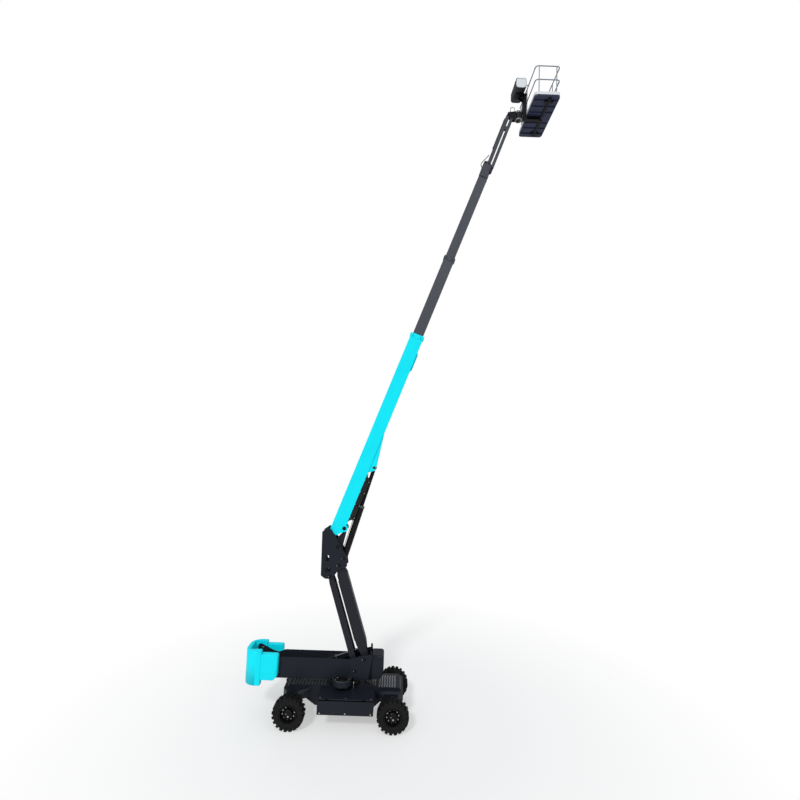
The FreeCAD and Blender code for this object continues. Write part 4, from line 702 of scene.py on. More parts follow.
def side_pods():
    """Lids, hinges and bolts of the two side pods."""
    edge = 0.004
    for side, word in SIDES:
        label = word + "_side_pod"
        low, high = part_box(label)
        face, inner = (high.y, low.y) if side > 0 else (low.y, high.y)
        back, front = low.x + edge, high.x - edge
        lid = [(back, inner - side * 0.01), (front, inner - side * 0.01),
               (front, face - side * edge), (back, face - side * edge)]
        lip = [(face - side * 0.006, high.z - 0.055), (face, high.z - 0.055),
               (face, high.z - edge), (face - side * 0.006, high.z + 0.006)]
        fitting(label + "_lid", "chassis", POD_PAINT,
                (prism, lid, high.z - edge, high.z + 0.008, "Z", edge),
                (prism, lip, back, front, "X", 0.0015))
        hinges = [(block, (x - 0.06, face, high.z - 0.03),
                   (x + 0.06, face - side * 0.012, high.z + 0.012), edge)
                  for x in (low.x + 0.32, high.x - 0.32)]
        fitting(label + "_hinges", "chassis", BLACK_PAINT, *hinges)
        xs = [low.x + 0.09, (low.x + high.x) / 2, high.x - 0.09]
        spots = [((x, face, low.z + 0.055), (0, side, 0)) for x in xs]
        spots += [((x, face - side * 0.07, high.z + 0.009), (0, 0, 1)) for x in xs]
        bolt_set(label + "_bolts", "chassis", spots, 0.015, 0.008)


# ---- pins


def pin_ends(name, body, centre, reach, radius, keeper=True):
    """Black pin heads with a nut on both outer faces, most with a keeper plate and its two bolts."""
    head = domed_disc(-0.004, 0.012, 0.018, radius * 1.25, radius * 1.12)
    nut = domed_disc(0.0, 0.028, 0.031, radius * 0.5, radius * 0.4)
    half = radius * 0.42
    for side, word in SIDES:
        at, out = Vector((centre[0], side * reach, centre[2])), Vector((0, side, 0))
        shapes = [(turned, head, at, out, 32), (turned, nut, at, out, 24)]
        if keeper:
            shapes.append((block, (at.x - radius * 2.1, at.y - side * 0.002, at.z - half),
                           (at.x + radius * 0.2, at.y + side * 0.02, at.z + half), 0.003))
        fitting(f"{name}_{word}_head", body, BLACK_PAINT, *shapes, angle=35.0)
        if keeper:
            spots = [(at + Vector((-radius * 1.75, side * 0.02, dz)), out)
                     for dz in (-half * 0.5, half * 0.5)]
            bolt_set(f"{name}_{word}_keeper_bolts", body, spots, radius * 0.14, 0.008)


def all_pins():
    """Every pin that shows, from the arm's foot to the jib's tip."""
    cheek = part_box("trough_plates")[1].y - 0.01
    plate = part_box("knuckle")[1].y - 0.01
    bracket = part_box("boom_cylinder_bracket")[1].y
    riser_tie = pivot("riser_tie") - pivot("riser_lift")
    jib_tie = pivot("jib_tie") - pivot("jib_lift")
    for name, body, centre, reach, radius in (
        ("foot_pin", "turntable", pivot("riser_lift"), cheek, 0.045),
        ("tie_foot_pin", "turntable", pivot("riser_tie"), cheek, 0.037),
        ("arm_top_pin", "knuckle", pivot("knuckle_level"), plate, 0.045),
        ("tie_top_pin", "knuckle", pivot("knuckle_level") + riser_tie, plate, 0.037),
        ("cylinder_foot_pin", "knuckle", pivot("boom_ram_swing"), plate, 0.036),
        ("cylinder_eye_pin", "main_boom", on_boom((2.386, 0, -0.165))[0], bracket, 0.036),
    ):
        pin_ends(name, body, centre, reach, radius)
    for name, body, centre, reach, radius in (
        ("boom_pin", "knuckle", BOOM_FOOT, 0.18, 0.056),
        ("head_pin", "inner_stage", pivot("platform_level"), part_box("boom_head")[1].y - 0.008, 0.025),
        ("jib_foot_pin", "level_bracket", pivot("jib_lift"), 0.088, 0.025),
        ("jib_cylinder_foot_pin", "level_bracket", pivot("jib_ram_swing"), 0.088, 0.022),
        ("jib_tie_pin", "level_bracket", pivot("jib_tie"), 0.115, 0.025),
        ("jib_tie_tip_pin", "carrier", pivot("carrier_level") + jib_tie, 0.115, 0.025),
    ):
        pin_ends(name, body, centre, reach, radius, keeper=False)


# ---- turntable


def drive_details():
    """Rim, hub, bolts and studs of the open slewing drive on the right."""
    low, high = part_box("slewing_drive")
    centre = Vector(((low.x + high.x) / 2, low.y + 0.32, low.z))
    up, trough_side = (0, 0, 1), -0.337
    rim = high.z - centre.z
    lip = [(rim - 0.012, 0.316), (rim + 0.004, 0.316), (rim + 0.006, 0.306), (rim + 0.004, 0.297),
           (rim - 0.012, 0.297)]
    fitting("drive_dish_rim", "turntable", RIB_STEEL, (turned, lip, centre, up, 96),
            (trimmed, trough_side), angle=35.0)
    hub = [(0.09, 0.0), (0.15, 0.0), (0.158, 0.05), (0.158, 0.1), (0.135, 0.12), (0.12, 0.2),
           (0.1, 0.205), (0.09, 0.21)]
    fitting("drive_hub", "turntable", BLACK_PAINT, (turned, hub, centre, up, 64),
            (trimmed, trough_side), angle=35.0)
    spots = [spot for spot in ring_of(centre + Vector((0, 0, 0.102)), up, 0.255, 16) if spot[0].y < -0.36]
    bolt_set("drive_bolts", "turntable", spots, 0.014, 0.012)
    xs = (SLEW_X + 0.09, SLEW_X + 0.35)
    stud = domed_disc(0.0, 0.235, 0.25, 0.016, 0.01)
    fitting("drive_studs", "turntable", ROD_STEEL,
            *[(turned, stud, (x, -0.6, 1.105), up, 20) for x in xs], angle=35.0)
    fitting("drive_stud_arms", "turntable", BLACK_PAINT,
            *[(block, (x - 0.035, -0.64, 1.245), (x + 0.035, -0.335, 1.275), 0.004) for x in xs])


def trimmed(work, plane_y):
    """Cut away what lies beyond a plane across Y and close the cut."""
    everything = list(work.verts) + list(work.edges) + list(work.faces)
    cut = bmesh.ops.bisect_plane(work, geom=everything, plane_co=(0, plane_y, 0), plane_no=(0, 1, 0),
                                 clear_outer=True)
    edges = [item for item in cut["geom_cut"] if isinstance(item, bmesh.types.BMEdge)]
    bmesh.ops.holes_fill(work, edges=edges)


def nose_details():
    """Louvres, bulkhead and side bolts of the nose box."""
    low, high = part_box("nose_box")
    slats = []
    for k in range(9):
        z = low.z + 0.26 + 0.048 * k
        slat = [(high.x - 0.006, z), (high.x, z - 0.01), (high.x, z - 0.016), (high.x - 0.006, z + 0.012)]
        slats.append((prism, slat, -0.19, 0.19, "Y", 0.001))
    fitting("nose_louvres", "turntable", BLACK_PAINT, *slats)
    top, seat, back = high.z - 0.1, low.z + 0.02, low.x - 0.001
    inside = high.y - 0.03
    wall = [(back, seat), (back, top), (back - 0.04, top), (back - 0.04, top - 0.14), (back - 0.13, seat)]
    fitting("nose_bulkhead", "turntable", BLACK_PAINT, (prism, wall, -inside, inside, "Y", 0.002))
    spots = [((x, side * high.y, z), (0, side, 0)) for x in (high.x - 0.16, low.x + 0.05)
             for side in (-1, 1) for z in (low.z + 0.1, high.z - 0.12)]
    bolt_set("nose_bolts", "turntable", spots, 0.012, 0.007, BLACK_PAINT)


def trough_details():
    """Bolts through the tail and the fittings on the cheeks."""
    tail_x, tail_z = SLEW_X - 3.01, 1.978
    spots = [((tail_x, side * 0.31, tail_z), (0, side, 0)) for side in (-1, 1)]
    spots += [((tail_x, side * 0.29, tail_z), (0, -side, 0)) for side in (-1, 1)]
    bolt_set("tail_bolts", "turntable", spots, 0.022, 0.014)
    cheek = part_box("trough_plates")[1].y
    shapes = []
    roller = plain_disc(-0.03, 0.03, 0.028)
    for side in (-1, 1):
        shapes += [(block, (SLEW_X + 0.86, side * (cheek - 0.035), 2.12),
                    (SLEW_X + 0.93, side * (cheek - 0.005), 2.21), 0.008),
                   (turned, roller, (SLEW_X + 0.895, side * (cheek - 0.02), 2.205), (0, 1, 0), 24)]
    fitting("cheek_fittings", "turntable", BLACK_PAINT, *shapes, angle=35.0)


# ---- lower arm and knuckle


def arm_details():
    """Steel pipes clipped along the back of the lower arm, and weld seams at its bosses."""
    low, high, back = 0.62, RISER_WAY.length - 0.55, 0.183
    pipes = [(tube, lean([(low, y, back + 0.014), (high, y, back + 0.014)], *RISER), 0.01)
             for y in (-0.12, -0.092, 0.092, 0.12)]
    fitting("arm_pipes", "lower_arm", BLACK_PAINT, *pipes, angle=50.0)
    us = [low + 0.12 + (high - low - 0.24) * k / 4 for k in range(5)]
    work = bmesh.new()
    for u in us:
        clip = bmesh.new()
        for y in (-0.106, 0.106):
            block(clip, (u - 0.018, y - 0.032, back), (u + 0.018, y + 0.032, back + 0.028), 0.004)
        work.from_mesh(lean(made(clip, "clip", 30.0), *RISER))
    piece("arm_pipe_clips", made(work, "arm_pipe_clips", 30.0, RIB_STEEL), "lower_arm")
    for name, joint in (("arm_foot_weld", "riser_lift"), ("arm_top_weld", "knuckle_level")):
        weld_ring(name, "lower_arm", pivot(joint), (0, 1, 0), 0.0905, (-0.15, 0.15), ARM_PAINT)


def weld_ring(name, body, centre, axis, radius, places, finish, size=0.007):
    """Rings of weld where a boss or tube meets a plate."""
    rings = [[(at + size * math.cos(a), radius + size * math.sin(a)) for a in full_turn(8)]
             for at in places]
    fitting(name, body, finish, *[(turned, ring, centre, axis, 48) for ring in rings], angle=60.0)


def knuckle_details():
    """Hose grommets on the knuckle's outer faces and welds round its cylinder boss."""
    at, face = pivot("knuckle_level"), 0.24
    grommet = [(0.003, 0.0), (0.003, 0.048), (0.01, 0.052), (0.01, 0.06), (0.007, 0.066),
               (-0.001, 0.066), (-0.001, 0.0)]
    for side, word in SIDES:
        place = (at.x - 0.083, side * face, at.z + 0.645)
        fitting(f"knuckle_grommet_{word}", "knuckle", BLACK_PAINT,
                (turned, grommet, place, (0, side, 0), 40), angle=35.0)
    weld_ring("cylinder_boss_weld", "knuckle", pivot("boom_ram_swing"), (0, 1, 0), 0.052,
              (-face - 0.002, face + 0.002), ARM_PAINT)


# ---- boom


def boom_plates():
    """Doubler plates at the boom's foot and cylinder eye, its foot weld and its long seams."""
    foot = [(-0.175, -0.005), (0.3, -0.012), (0.52, 0.1), (0.3, 0.235), (-0.235, 0.2)]
    eye = [(1.86, -0.012), (3.62, -0.012), (3.3, 0.06), (2.1, 0.06)]
    for side, word in SIDES:
        for label, outline, corner, outer, bevel in (("foot", foot, 0.05, 0.178, 0.003),
                                                     ("eye", eye, 0.03, 0.176, 0.0025)):
            plate = (prism, round_corners(outline, corner), side * 0.1695, side * outer, "Y", bevel)
            fitting(f"boom_{label}_plate_{word}", "main_boom", BOOM_PAINT, plate, lie=BOOM)
    weld_ring("boom_foot_weld", "main_boom", BOOM_FOOT, (0, 1, 0), 0.122, (-0.179, 0.179),
              BOOM_PAINT, 0.006)
    seams = [(tube, on_boom((0.02, y, v), (7.34, y, v)), 0.0042, 8) for v in (-0.0165, 0.4605)
             for y in (-0.171, 0.171)]
    fitting("boom_seams", "main_boom", BOOM_PAINT, *seams, angle=60.0)


def collar(name, body, finish, front, middle, deep, half):
    """Wear pad plates and their screws round a stage's front end."""
    reach, thick = 0.038, 0.01
    above = Vector((-BOOM_WAY.z, 0, BOOM_WAY.x))
    shapes, side_spots, face_spots = [], [], []

    def screws(y, v, out):
        return [(on_boom((front - u, y, v))[0], out) for u in (0.1, 0.05)]

    for side in (-1, 1):
        for v in (middle - deep * 0.3, middle + deep * 0.3):
            shapes.append((block, (front - 0.125, side * half, v - reach),
                           (front - 0.025, side * (half + thick), v + reach), 0.003))
            side_spots += screws(side * (half + thick), v, (0, side, 0))
    for sign in (-1, 1):
        for y in (-half * 0.5, half * 0.5):
            edge = middle + sign * deep / 2
            shapes.append((block, (front - 0.125, y - reach, edge),
                           (front - 0.025, y + reach, edge + sign * thick), 0.003))
            face_spots += screws(y, middle + sign * (deep / 2 + thick), sign * above)
    fitting(name + "_pad_plates", body, finish, *shapes, lie=BOOM)
    bolt_set(name + "_pad_screws", body, side_spots + face_spots, 0.009, 0.007, BLACK_PAINT)


def boom_fittings():
    """Hose tray with its hoses and clamps under the boom, and slide pads on the stages."""
    start, end, edge = 0.46, 2.02, 0.085
    tray = [(start, -0.026), (end, -0.026), (end, -0.03), (start, -0.03)]
    walls = [(block, (start, side * edge, -0.052), (end, side * 0.089, -0.022), 0.001)
             for side in (-1, 1)]
    fitting("hose_tray", "main_boom", BLACK_PAINT, (prism, tray, -edge, edge), *walls, lie=BOOM)
    runs = [[(0.4, y, -0.044), (0.8, y, -0.046), (1.3, y * 0.96, -0.045), (2.08, y, -0.044)]
            for y in (-0.054, -0.018, 0.018, 0.054)]
    fitting("tray_hoses", "main_boom", HOSE, *[(tube, on_boom(*run), 0.013) for run in runs], angle=60.0)
    clamps = []
    for u in (0.56, 0.98, 1.4, 1.86):
        clamps.append((block, (u - 0.02, -0.078, -0.066), (u + 0.02, 0.078, -0.058), 0.002))
        clamps += [(block, (u - 0.02, y - 0.006, -0.062), (u + 0.02, y + 0.006, -0.028), 0.001)
                   for y in (-0.074, 0.074)]
    fitting("tray_clamps", "main_boom", RIB_STEEL, *clamps, lie=BOOM)
    collar("outer_collar", "main_boom", BOOM_PAINT, front=7.5, middle=0.222, deep=0.513, half=0.184)
    collar("middle_collar", "middle_stage", STAGE_PAINT, front=10.7, middle=0.214, deep=0.421, half=0.152)


def hose_racks():
    """Hoses on racks that hang under the boom on both sides of its cylinder."""
    depths = (-0.05, -0.083, -0.116, -0.149, -0.182)
    top, bend, middle = -0.03, 0.11, 0.146
    quarter = [math.pi / 2 * j / 6 for j in range(7)]
    hoses = []
    for side in (-1, 1):
        for k, depth in enumerate(depths):
            lower, upper = ([(u + sign * bend * math.sin(a), side * middle,
                              top + (depth - top) * (1 - math.cos(a))) for a in quarter]
                            for u, sign in ((0.27, 1), (2.03, -1)))
            y = side * (0.142 + 0.006 * (k % 2))
            between = [(0.85, y, depth - 0.003), (1.28, side * middle, depth), (1.67, y, depth)]
            hoses.append((tube, on_boom(*lower, *between, *reversed(upper)), 0.0145))
    fitting("boom_side_hoses", "main_boom", HOSE, *hoses, angle=60.0)
    inner, outer, foot = 0.124, 0.168, depths[-1] - 0.022
    bars = ((0.1635, outer, -0.019), (inner, 0.1285, -0.019), (inner, outer, depths[-1] - 0.017))
    racks, spots = [], []
    for u in (0.46, 0.93, 1.4, 1.84):
        racks += [(block, (u - 0.018, side * near, foot), (u + 0.018, side * far, high), 0.001)
                  for side in (-1, 1) for near, far, high in bars]
        for v in (-0.035, -0.19):
            at = on_boom((u, 0.0, v))[0]
            spots += [((at.x, side * outer, at.z), (0, side, 0)) for side in (-1, 1)]
    fitting("hose_racks", "main_boom", BLACK_PAINT, *racks, lie=BOOM)
    bolt_set("rack_bolts", "main_boom", spots, 0.01, 0.006)


def cylinder_fittings(word, radius, rod, barrel, eye, port_y=None):
    """Gland ring with its screws, foot weld and, where a port is given, the oil pipe of a barrel."""
    label, body = word + "_cylinder", word + "_barrel"
    foot, way = pivot(word + "_ram_swing"), Vector(JOINTS[word + "_ram_stroke"]["axis"])
    back, groove = barrel - 0.5 * radius, radius - 0.003
    gland = [(back, groove), (back, radius * 1.06), (barrel + 0.004, radius * 1.06),
             (barrel + 0.01, radius), (barrel + 0.01, rod + 0.012), (barrel + 0.018, rod + 0.008),
             (barrel + 0.018, rod + 0.0012), (barrel - 0.004, rod + 0.0012), (barrel - 0.004, groove)]
    fitting(label + "_gland", body, STAGE_PAINT, (turned, gland, foot, way, 64), angle=35.0)
    if port_y:
        oil_pipe(label, body, foot + Vector((0, port_y, 0)), way, radius, barrel)
    places = ring_of(foot + way * (barrel + 0.004), way, radius * 0.86, 10)
    bolt_set(label + "_gland_screws", body, places, radius * 0.07, 0.008, washer=1.0)
    weld_ring(label + "_foot_weld", body, foot, way, radius * 0.99, (eye * 0.62 + 0.006,), BLACK_PAINT)


def oil_pipe(label, body, foot, way, radius, barrel):
    """Steel pipe from the foot port to the gland port."""
    across = way.cross(Vector((0, 1, 0)))
    start, end = 0.16, barrel - 0.14
    path = [foot + way * u + across * (radius + rise) for u, rise in
            ((start, 0.0), (start, 0.02), (0.22, 0.026), (barrel - 0.2, 0.026), (end, 0.02), (end, 0.0))]
    ports = [(turned, plain_disc(-0.012, 0.014, 0.019), foot + way * u + across * radius, across, 6)
             for u in (start, end)]
    fitting(label + "_pipe", body, BLACK_PAINT, (tube, path, 0.01), *ports, angle=40.0)


def cylinders():
    """Fittings of the three cylinders."""
    cylinder_fittings("boom", radius=0.112, rod=0.068, barrel=1.9, eye=0.085, port_y=0.07)
    cylinder_fittings("riser", radius=0.065, rod=0.038, barrel=1.35, eye=0.06, port_y=0.042)
    cylinder_fittings("jib", radius=0.034, rod=0.02, barrel=1.0, eye=0.038)


# ---- jib


def jib_details():
    """Hoses along the jib and their clips."""
    length = JIB_WAY.length
    runs = [[(0.66, y, 0.082), (0.9, y * 0.9, 0.083), (1.4, y, 0.082), (length - 0.22, y * 0.9, 0.082)]
            for y in (-0.03, 0.0, 0.03)]
    fitting("jib_hoses", "jib_arm", HOSE, *[(tube, lean(run, *JIB), 0.011) for run in runs], angle=60.0)
    us = [0.74 + (length - 1.04) * k / 3 for k in range(4)]
    clips = [(block, (u - 0.014, -0.052, 0.0675), (u + 0.014, 0.052, 0.098), 0.004) for u in us]
    fitting("jib_hose_clips", "jib_arm", RIB_STEEL, *clips, lie=JIB)


# ---- platform

RAIL_RADIUS = 0.019


def rail_fittings():
    """Sleeves where the rails join, post feet with their bolts, gate hinges and latch."""
    low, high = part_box("right_end_rails")
    floor_low, floor_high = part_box("platform_floor")
    front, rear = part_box("front_side_rails"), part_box("rear_side_rails")
    x0, floor = (floor_low.x + floor_high.x) / 2, floor_high.z
    out_x, out_y = (front[1].x - rear[0].x) / 2 - RAIL_RADIUS, -low.y - RAIL_RADIUS
    mid_z, top_z = floor_low.z + 0.64, high.z - RAIL_RADIUS
    join = -front[0].y
    thin, thick = RAIL_RADIUS - 0.002, RAIL_RADIUS + 0.003
    sleeve = [(-0.034, thin), (-0.034, thick), (0.034, thick), (0.034, thin)]
    fitting("rail_sleeves", "platform", RAIL_PAINT,
            *[(turned, sleeve, (x, y, z), (0, 1, 0), 32) for x in (x0 - out_x, x0 + out_x)
              for y in (-join, join) for z in (mid_z, top_z)], angle=35.0)
    # Place of each post, and whether its rail runs along Y.
    feet = [(x0 - 0.32, -out_y, False), (x0 + 0.32, -out_y, False),
            (x0 + out_x, -0.295, True), (x0 + out_x, 0.59, True),
            (x0 - out_x, 0.02, True), (x0 - out_x, 0.787, True),
            (x0 + 0.285, out_y, False), (x0 - 0.345, out_y, False)]
    ring = [(0.005, 0.0165), (0.005, 0.0185), (0.01, 0.0175), (0.01, 0.0165)]
    shapes, spots = [], []
    for x, y, along_y in feet:
        half = (0.018, 0.052) if along_y else (0.052, 0.018)
        shapes += [(block, (x - half[0], y - half[1], floor - 0.0025),
                    (x + half[0], y + half[1], floor + 0.006), 0.002),
                   (turned, ring, (x, y, floor), (0, 0, 1), 24)]
        for shift in (-0.038, 0.038):
            place = (x, y + shift) if along_y else (x + shift, y)
            spots.append(((*place, floor + 0.006), (0, 0, 1)))
    fitting("post_feet", "platform", RAIL_PAINT, *shapes)
    bolt_set("post_bolts", "platform", spots, 0.0075, 0.006, washer=1.15)
    gate_low, gate_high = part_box("platform_gate")
    fitting("gate_hinges", "platform", RIB_STEEL,
            *[(block, (gate_low.x - 0.02, out_y - 0.012, z - 0.022),
               (gate_low.x + 0.012, out_y + 0.012, z + 0.022), 0.003)
              for z in (mid_z + 0.14, top_z - 0.18)])
    x = gate_high.x - 0.016
    lever = [(x - 0.02, out_y - 0.03, mid_z + 0.11), (x - 0.02, out_y - 0.055, mid_z + 0.11),
             (x - 0.02, out_y - 0.06, mid_z + 0.18)]
    fitting("gate_latch", "gate", BLACK_PAINT,
            (block, (x - 0.05, out_y - 0.034, mid_z + 0.06),
             (x + 0.012, out_y - 0.014, mid_z + 0.16), 0.005),
            (tube, lever, 0.006), angle=35.0)


def floor_details():
    """Anti-slip bars on the floor, and the spine, pads, cross members and lip under it."""
    low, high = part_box("platform_floor")
    middle_x = (low.x + high.x) / 2
    bar = deck_rib(0.74, 0.014, 0.003, 0.0)
    bar.transform(Matrix.Rotation(math.radians(90), 4, "Z"))
    count, half = 34, 1.08
    mesh = grown(bar, ROW, Count=count, Step_Y=2 * half / (count - 1), Finish=RIB_STEEL)
    mesh.transform(Matrix.Translation((middle_x, -half, high.z)))
    piece("floor_bars", mesh, "platform")
    x, seat = middle_x - 0.04, low.z - 0.0005
    spine = [(block, (x + 0.1, near, low.z - 0.055), (x + 0.2, far, seat), 0.006)
             for near, far in ((-1.1, -0.085), (0.085, 1.1))]
    pads = [(block, (x - 0.02, y - 0.06, low.z - 0.062), (x + 0.32, y + 0.06, seat), 0.008)
            for y in (-0.92, 0.92)]
    fitting("floor_spine", "platform", BLACK_PAINT, *spine, *pads)
    fitting("floor_cross_members", "platform", DECK_PAINT,
            *[(block, (low.x + 0.03, y - 0.022, low.z - 0.032), (high.x - 0.03, y + 0.022, seat), 0.003)
              for y in (-0.95, -0.62, -0.3, 0.3, 0.62, 0.95)])
    wire = 0.006
    corners = [(low.x + wire, low.y + wire), (high.x - wire, low.y + wire),
               (high.x - wire, high.y - wire), (low.x + wire, high.y - wire)]
    edge = [(x, y, low.z + wire) for x, y in round_corners(corners, 0.11, 10)]
    fitting("floor_lip", "platform", RAIL_PAINT, (tube, edge + edge[:1], wire, 8), angle=60.0)


def console_details():
    """End covers with their strips, panel with levers and buttons, and two straps."""
    low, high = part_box("control_console")
    back, front, foot, top = low.x + 0.02, high.x - 0.02, low.z + 0.02, high.z - 0.03
    outline = round_corners([(back, foot), (front, foot), (front, top), (back, top)], 0.1, 8)
    for side, word in SIDES:
        fitting(f"console_cover_{word}", "platform", CREAM_PAINT,
                (prism, outline, side * high.y, side * (high.y + 0.035), "Y", 0.012, 3), angle=40.0)
        fitting(f"console_strip_{word}", "platform", RAIL_PAINT,
                (block, (low.x + 0.05, side * (high.y + 0.002), high.z - 0.075),
                 (high.x - 0.05, side * (high.y + 0.038), high.z - 0.06), 0.003))
    fitting("console_panel", "platform", STAGE_PAINT,
            (block, (high.x - 0.002, -0.34, high.z - 0.31),
             (high.x + 0.006, 0.34, high.z - 0.105), 0.003))
    lever = [(0.1, 0.0), (0.098, 0.013), (0.086, 0.018), (0.066, 0.015), (0.062, 0.008), (0.03, 0.013),
             (0.024, 0.021), (0.016, 0.025), (0.01, 0.032), (0.0, 0.034), (0.0, 0.0)]
    fitting("console_levers", "platform", CONSOLE,
            *[(turned, lever, (high.x + 0.004, y, high.z - 0.2), (1, 0, 0.35), 28)
              for y in (-0.24, 0.24)], angle=50.0)
    button = domed_disc(-0.006, 0.008, 0.011, 0.014, 0.011)
    fitting("console_buttons", "platform", BLACK_PAINT,
            *[(turned, button, (high.x + 0.006, y, high.z + z), (1, 0, 0), 20)
              for y in (-0.14, -0.07, 0.0, 0.07, 0.14) for z in (-0.155, -0.215, -0.275)], angle=40.0)
    straps = [[(low.x + 0.03, y, high.z - 0.08), (low.x + 0.03, y, high.z - 0.02)] for y in (-0.36, 0.36)]
    fitting("console_straps", "platform", BLACK_PAINT, *[(tube, path, 0.012) for path in straps],
            angle=50.0)


def rotator_details():
    """Rings, bolts and lifting ring of the rotary actuator, and stiffeners of the mast's shelf."""
    at = pivot("platform_swing")
    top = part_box("platform_carrier")[1].z
    rings = [[(top - foot, 0.134), (top - foot, 0.1395), (top - head, 0.1395), (top - head, 0.134)]
             for foot, head in ((0.332, 0.3), (0.05, 0.02))]
    fitting("rotator_rings", "carrier", RAIL_PAINT,
            *[(turned, ring, (at.x, 0, 0), (0, 0, 1), 64) for ring in rings], angle=35.0)
    turns = full_turn(24) + [2 * math.pi]
    loop = [(at.x + 0.07 + 0.034 * math.cos(a), -0.1, top - 0.372 + 0.034 * math.sin(a)) for a in turns]
    fitting("lifting_ring", "carrier", RAIL_PAINT, (tube, loop, 0.008, 10), angle=60.0)
    spots = ring_of((at.x, 0, top - 0.3305), (0, 0, -1), 0.115, 12)
    bolt_set("rotator_bolts", "carrier", spots, 0.01, 0.01)
    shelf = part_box("platform_mast")[1].z
    x = at.x + 0.155
    gusset = [(x - 0.002, shelf - 0.045), (x - 0.2, shelf - 0.045), (x - 0.002, shelf - 0.24)]
    fitting("shelf_stiffeners", "platform", BLACK_PAINT,
            *[(prism, gusset, side * 0.06, side * 0.07, "Y", 0.002) for side in (-1, 1)])
    spots = [((x + 0.0425, y, shelf - 0.0395), (0, 0, -1)) for y in (-0.12, 0.12)]
    bolt_set("shelf_bolts", "platform", spots, 0.012, 0.01)


# ---- chassis fittings


def chassis_details():
    """Slewing ring screws, lashing plates, kingpin caps and axle bolts."""
    places = ring_of((SLEW_X, 0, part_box("slewing_ring")[1].z), (0, 0, 1), 0.521, 40)
    bolt_set("ring_screws", "chassis", places, 0.011, 0.012, washer=1.15)
    low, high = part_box("chassis_frame")
    foot, top = high.z - 0.4, high.z - 0.3
    plates = []
    for x, sign in ((high.x, 1), (low.x, -1)):
        near, far = sorted((x - sign * 0.09, x - sign * 0.002))
        outline = round_corners([(near, foot), (far, foot), (far, top), (near, top)], 0.02)
        plates += [(prism, outline, y - 0.012, y + 0.012, "Y", 0.003) for y in (-0.3, 0.3)]
    fitting("lashing_plates", "chassis", BLACK_PAINT, *plates)
    cap = domed_disc(-0.006, 0.008, 0.014, 0.046, 0.038)
    for _, word in SIDES:
        low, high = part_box(word + "_steering_knuckle")
        at = JOINTS["steer_" + word]["pos_m"]
        fitting("kingpin_caps_" + word, word + "_steering", BLACK_PAINT,
                *[(turned, cap, (at[0], at[1], z), (0, 0, out), 32)
                  for z, out in ((high.z, 1), (low.z, -1))], angle=35.0)
    spots = []
    for axle in ("front_axle", "rear_axle"):
        low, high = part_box(axle)
        x = (low.x + high.x) / 2
        spots += [((x + dx, side * y, high.z - 0.12), (dx, 0, 0)) for side in (-1, 1)
                  for dx in (-0.1201, 0.1201) for y in (0.14, 0.28)]
    bolt_set("axle_bolts", "chassis", spots, 0.018, 0.014, BLACK_PAINT)


# ---- stage


def backdrop_glow(mat, floor_colour, start, end):
    """Pale floor that passes into plain white light far out, for camera rays alone."""
    tree = mat.node_tree
    bsdf = fill(tree, tree.nodes["Principled BSDF"], Base_Color=floor_colour, Roughness=0.9,
                Specular_IOR_Level=0.1)
    where = add(tree, "ShaderNodeTexCoord").outputs["Object"]
    flat = add(tree, "ShaderNodeVectorMath", "MULTIPLY", Vector=where)
    flat.inputs[1].default_value = (1, 1, 0)
    reach = add(tree, "ShaderNodeVectorMath", "LENGTH", Vector=flat.outputs["Vector"])
    fade = add(tree, "ShaderNodeMapRange", Value=reach.outputs["Value"],
               From_Min=start, From_Max=end, To_Min=0.45)
    seen = add(tree, "ShaderNodeLightPath").outputs["Is Camera Ray"]
    glow = add(tree, "ShaderNodeEmission").outputs[0]
    both = worked(tree, "MULTIPLY", fade.outputs["Result"], seen)
    fill(tree, tree.nodes["Material Output"], Surface=mixed(tree, both, bsdf.outputs[0], glow))


def studio():
    """White floor and backdrop, a soft high key light and a weak fill."""
    bpy.ops.mesh.primitive_circle_add(vertices=96, radius=60.0, fill_type="NGON", location=(0, 0, 0))
    floor = bpy.context.object
    floor.name = "studio_floor"
    mat = shader("studio_floor")[0]
    backdrop_glow(mat, (0.92, 0.92, 0.92, 1.0), 4.0, 12.0)
    floor.data.materials.append(mat)
    world = bpy.data.worlds.new("studio")
    bpy.context.scene.world = world
    world.use_nodes = True
    tree = world.node_tree
    soft = fill(tree, tree.nodes["Background"], Color=(0.94, 0.97, 1.0, 1.0), Strength=0.5)
    plain = add(tree, "ShaderNodeBackground", Color=(1.0, 1.0, 1.0, 1.0), Strength=1.0)
    rays = add(tree, "ShaderNodeLightPath").outputs
    either = worked(tree, "MAXIMUM", rays["Is Camera Ray"], rays["Is Transmission Ray"])
    backdrop = mixed(tree, either, soft.outputs[0], plain.outputs[0])
    fill(tree, tree.nodes["World Output"], Surface=backdrop)
    sun("key_light", 1.45, 9.0, (48.0, 8.0, -28.0))
    sun("fill_light", 0.4, 40.0, (62.0, 0.0, 40.0))


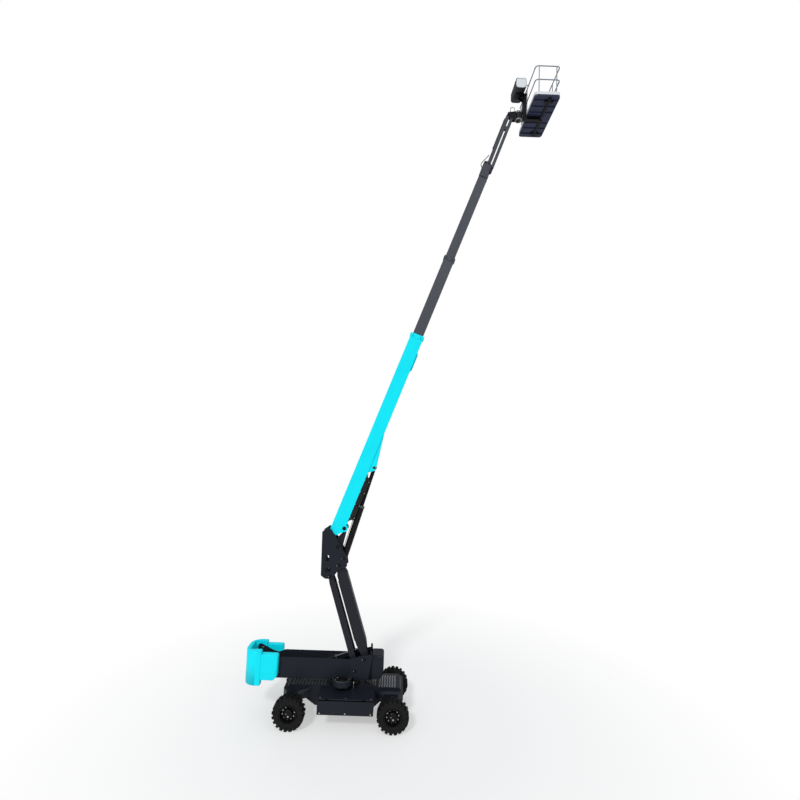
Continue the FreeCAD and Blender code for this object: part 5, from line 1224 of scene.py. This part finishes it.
def sun(name, energy, spread, turn):
    """Distant light; its spread and its turn are in degrees."""
    lamp = bpy.data.lights.new(name, "SUN")
    lamp.energy = energy
    lamp.angle = math.radians(spread)
    item = bpy.data.objects.new(name, lamp)
    item.rotation_euler = [math.radians(a) for a in turn]
    bpy.context.scene.collection.objects.link(item)


def camera():
    """Standing well back on the right side, a little above mid height."""
    eye = Vector((SLEW_X + 1.53, -17.262, 9.757))
    pitch, yaw, roll = math.radians(4.276), math.radians(-0.22), math.radians(-1.99)
    lens = bpy.data.cameras.new("camera")
    lens.sensor_width = 36.0
    lens.lens = 21.15
    view = bpy.data.objects.new("camera", lens)
    tilt = Matrix.Rotation(math.pi / 2 + pitch, 3, "X") @ Matrix.Rotation(-roll, 3, "Z")
    turn = Matrix.Rotation(yaw, 3, "Z") @ tilt
    view.matrix_world = Matrix.Translation(eye) @ turn.to_4x4()
    bpy.context.scene.collection.objects.link(view)
    bpy.context.scene.camera = view


# Nodes shown with eased edges, and how wide the easing is.
EASED = {
    "chassis_frame": 0.008, "right_side_pod": 0.01, "left_side_pod": 0.01, "trough_plates": 0.005,
    "nose_box": 0.006, "turntable_base": 0.005, "slewing_drive": 0.004, "lower_arm": 0.01,
    "lower_tie_link": 0.005, "outer_boom": 0.006, "boom_cylinder_bracket": 0.004, "middle_stage": 0.006,
    "inner_stage": 0.005, "boom_head": 0.004, "level_bracket": 0.004, "jib_arm": 0.006,
    "jib_tie_right": 0.004, "jib_tie_left": 0.004, "platform_carrier": 0.005, "platform_mast": 0.005,
    "rear_counterweight": 0.018, "right_counterweight": 0.035, "left_counterweight": 0.035,
}


def main():
    """Every piece, then the stage and the camera."""
    paint_nodes()
    for side, word in SIDES:
        for axle in ("front_", "rear_"):
            tyre(axle + word)
            wheel_fittings(axle + word, side)
    for name, width in EASED.items():
        softened(name, width)
    for details in (decks, side_pods, chassis_details, drive_details, nose_details, trough_details, all_pins,
                    arm_details, knuckle_details, boom_plates, boom_fittings, hose_racks, cylinders,
                    jib_details, rail_fittings, floor_details, console_details, rotator_details,
                    studio, camera):
        details()
    bpy.context.scene.view_settings.view_transform = "Standard"


def write_sizes():
    """Imports json and does nothing more; no boxes are written."""
    import json


main()
write_sizes()
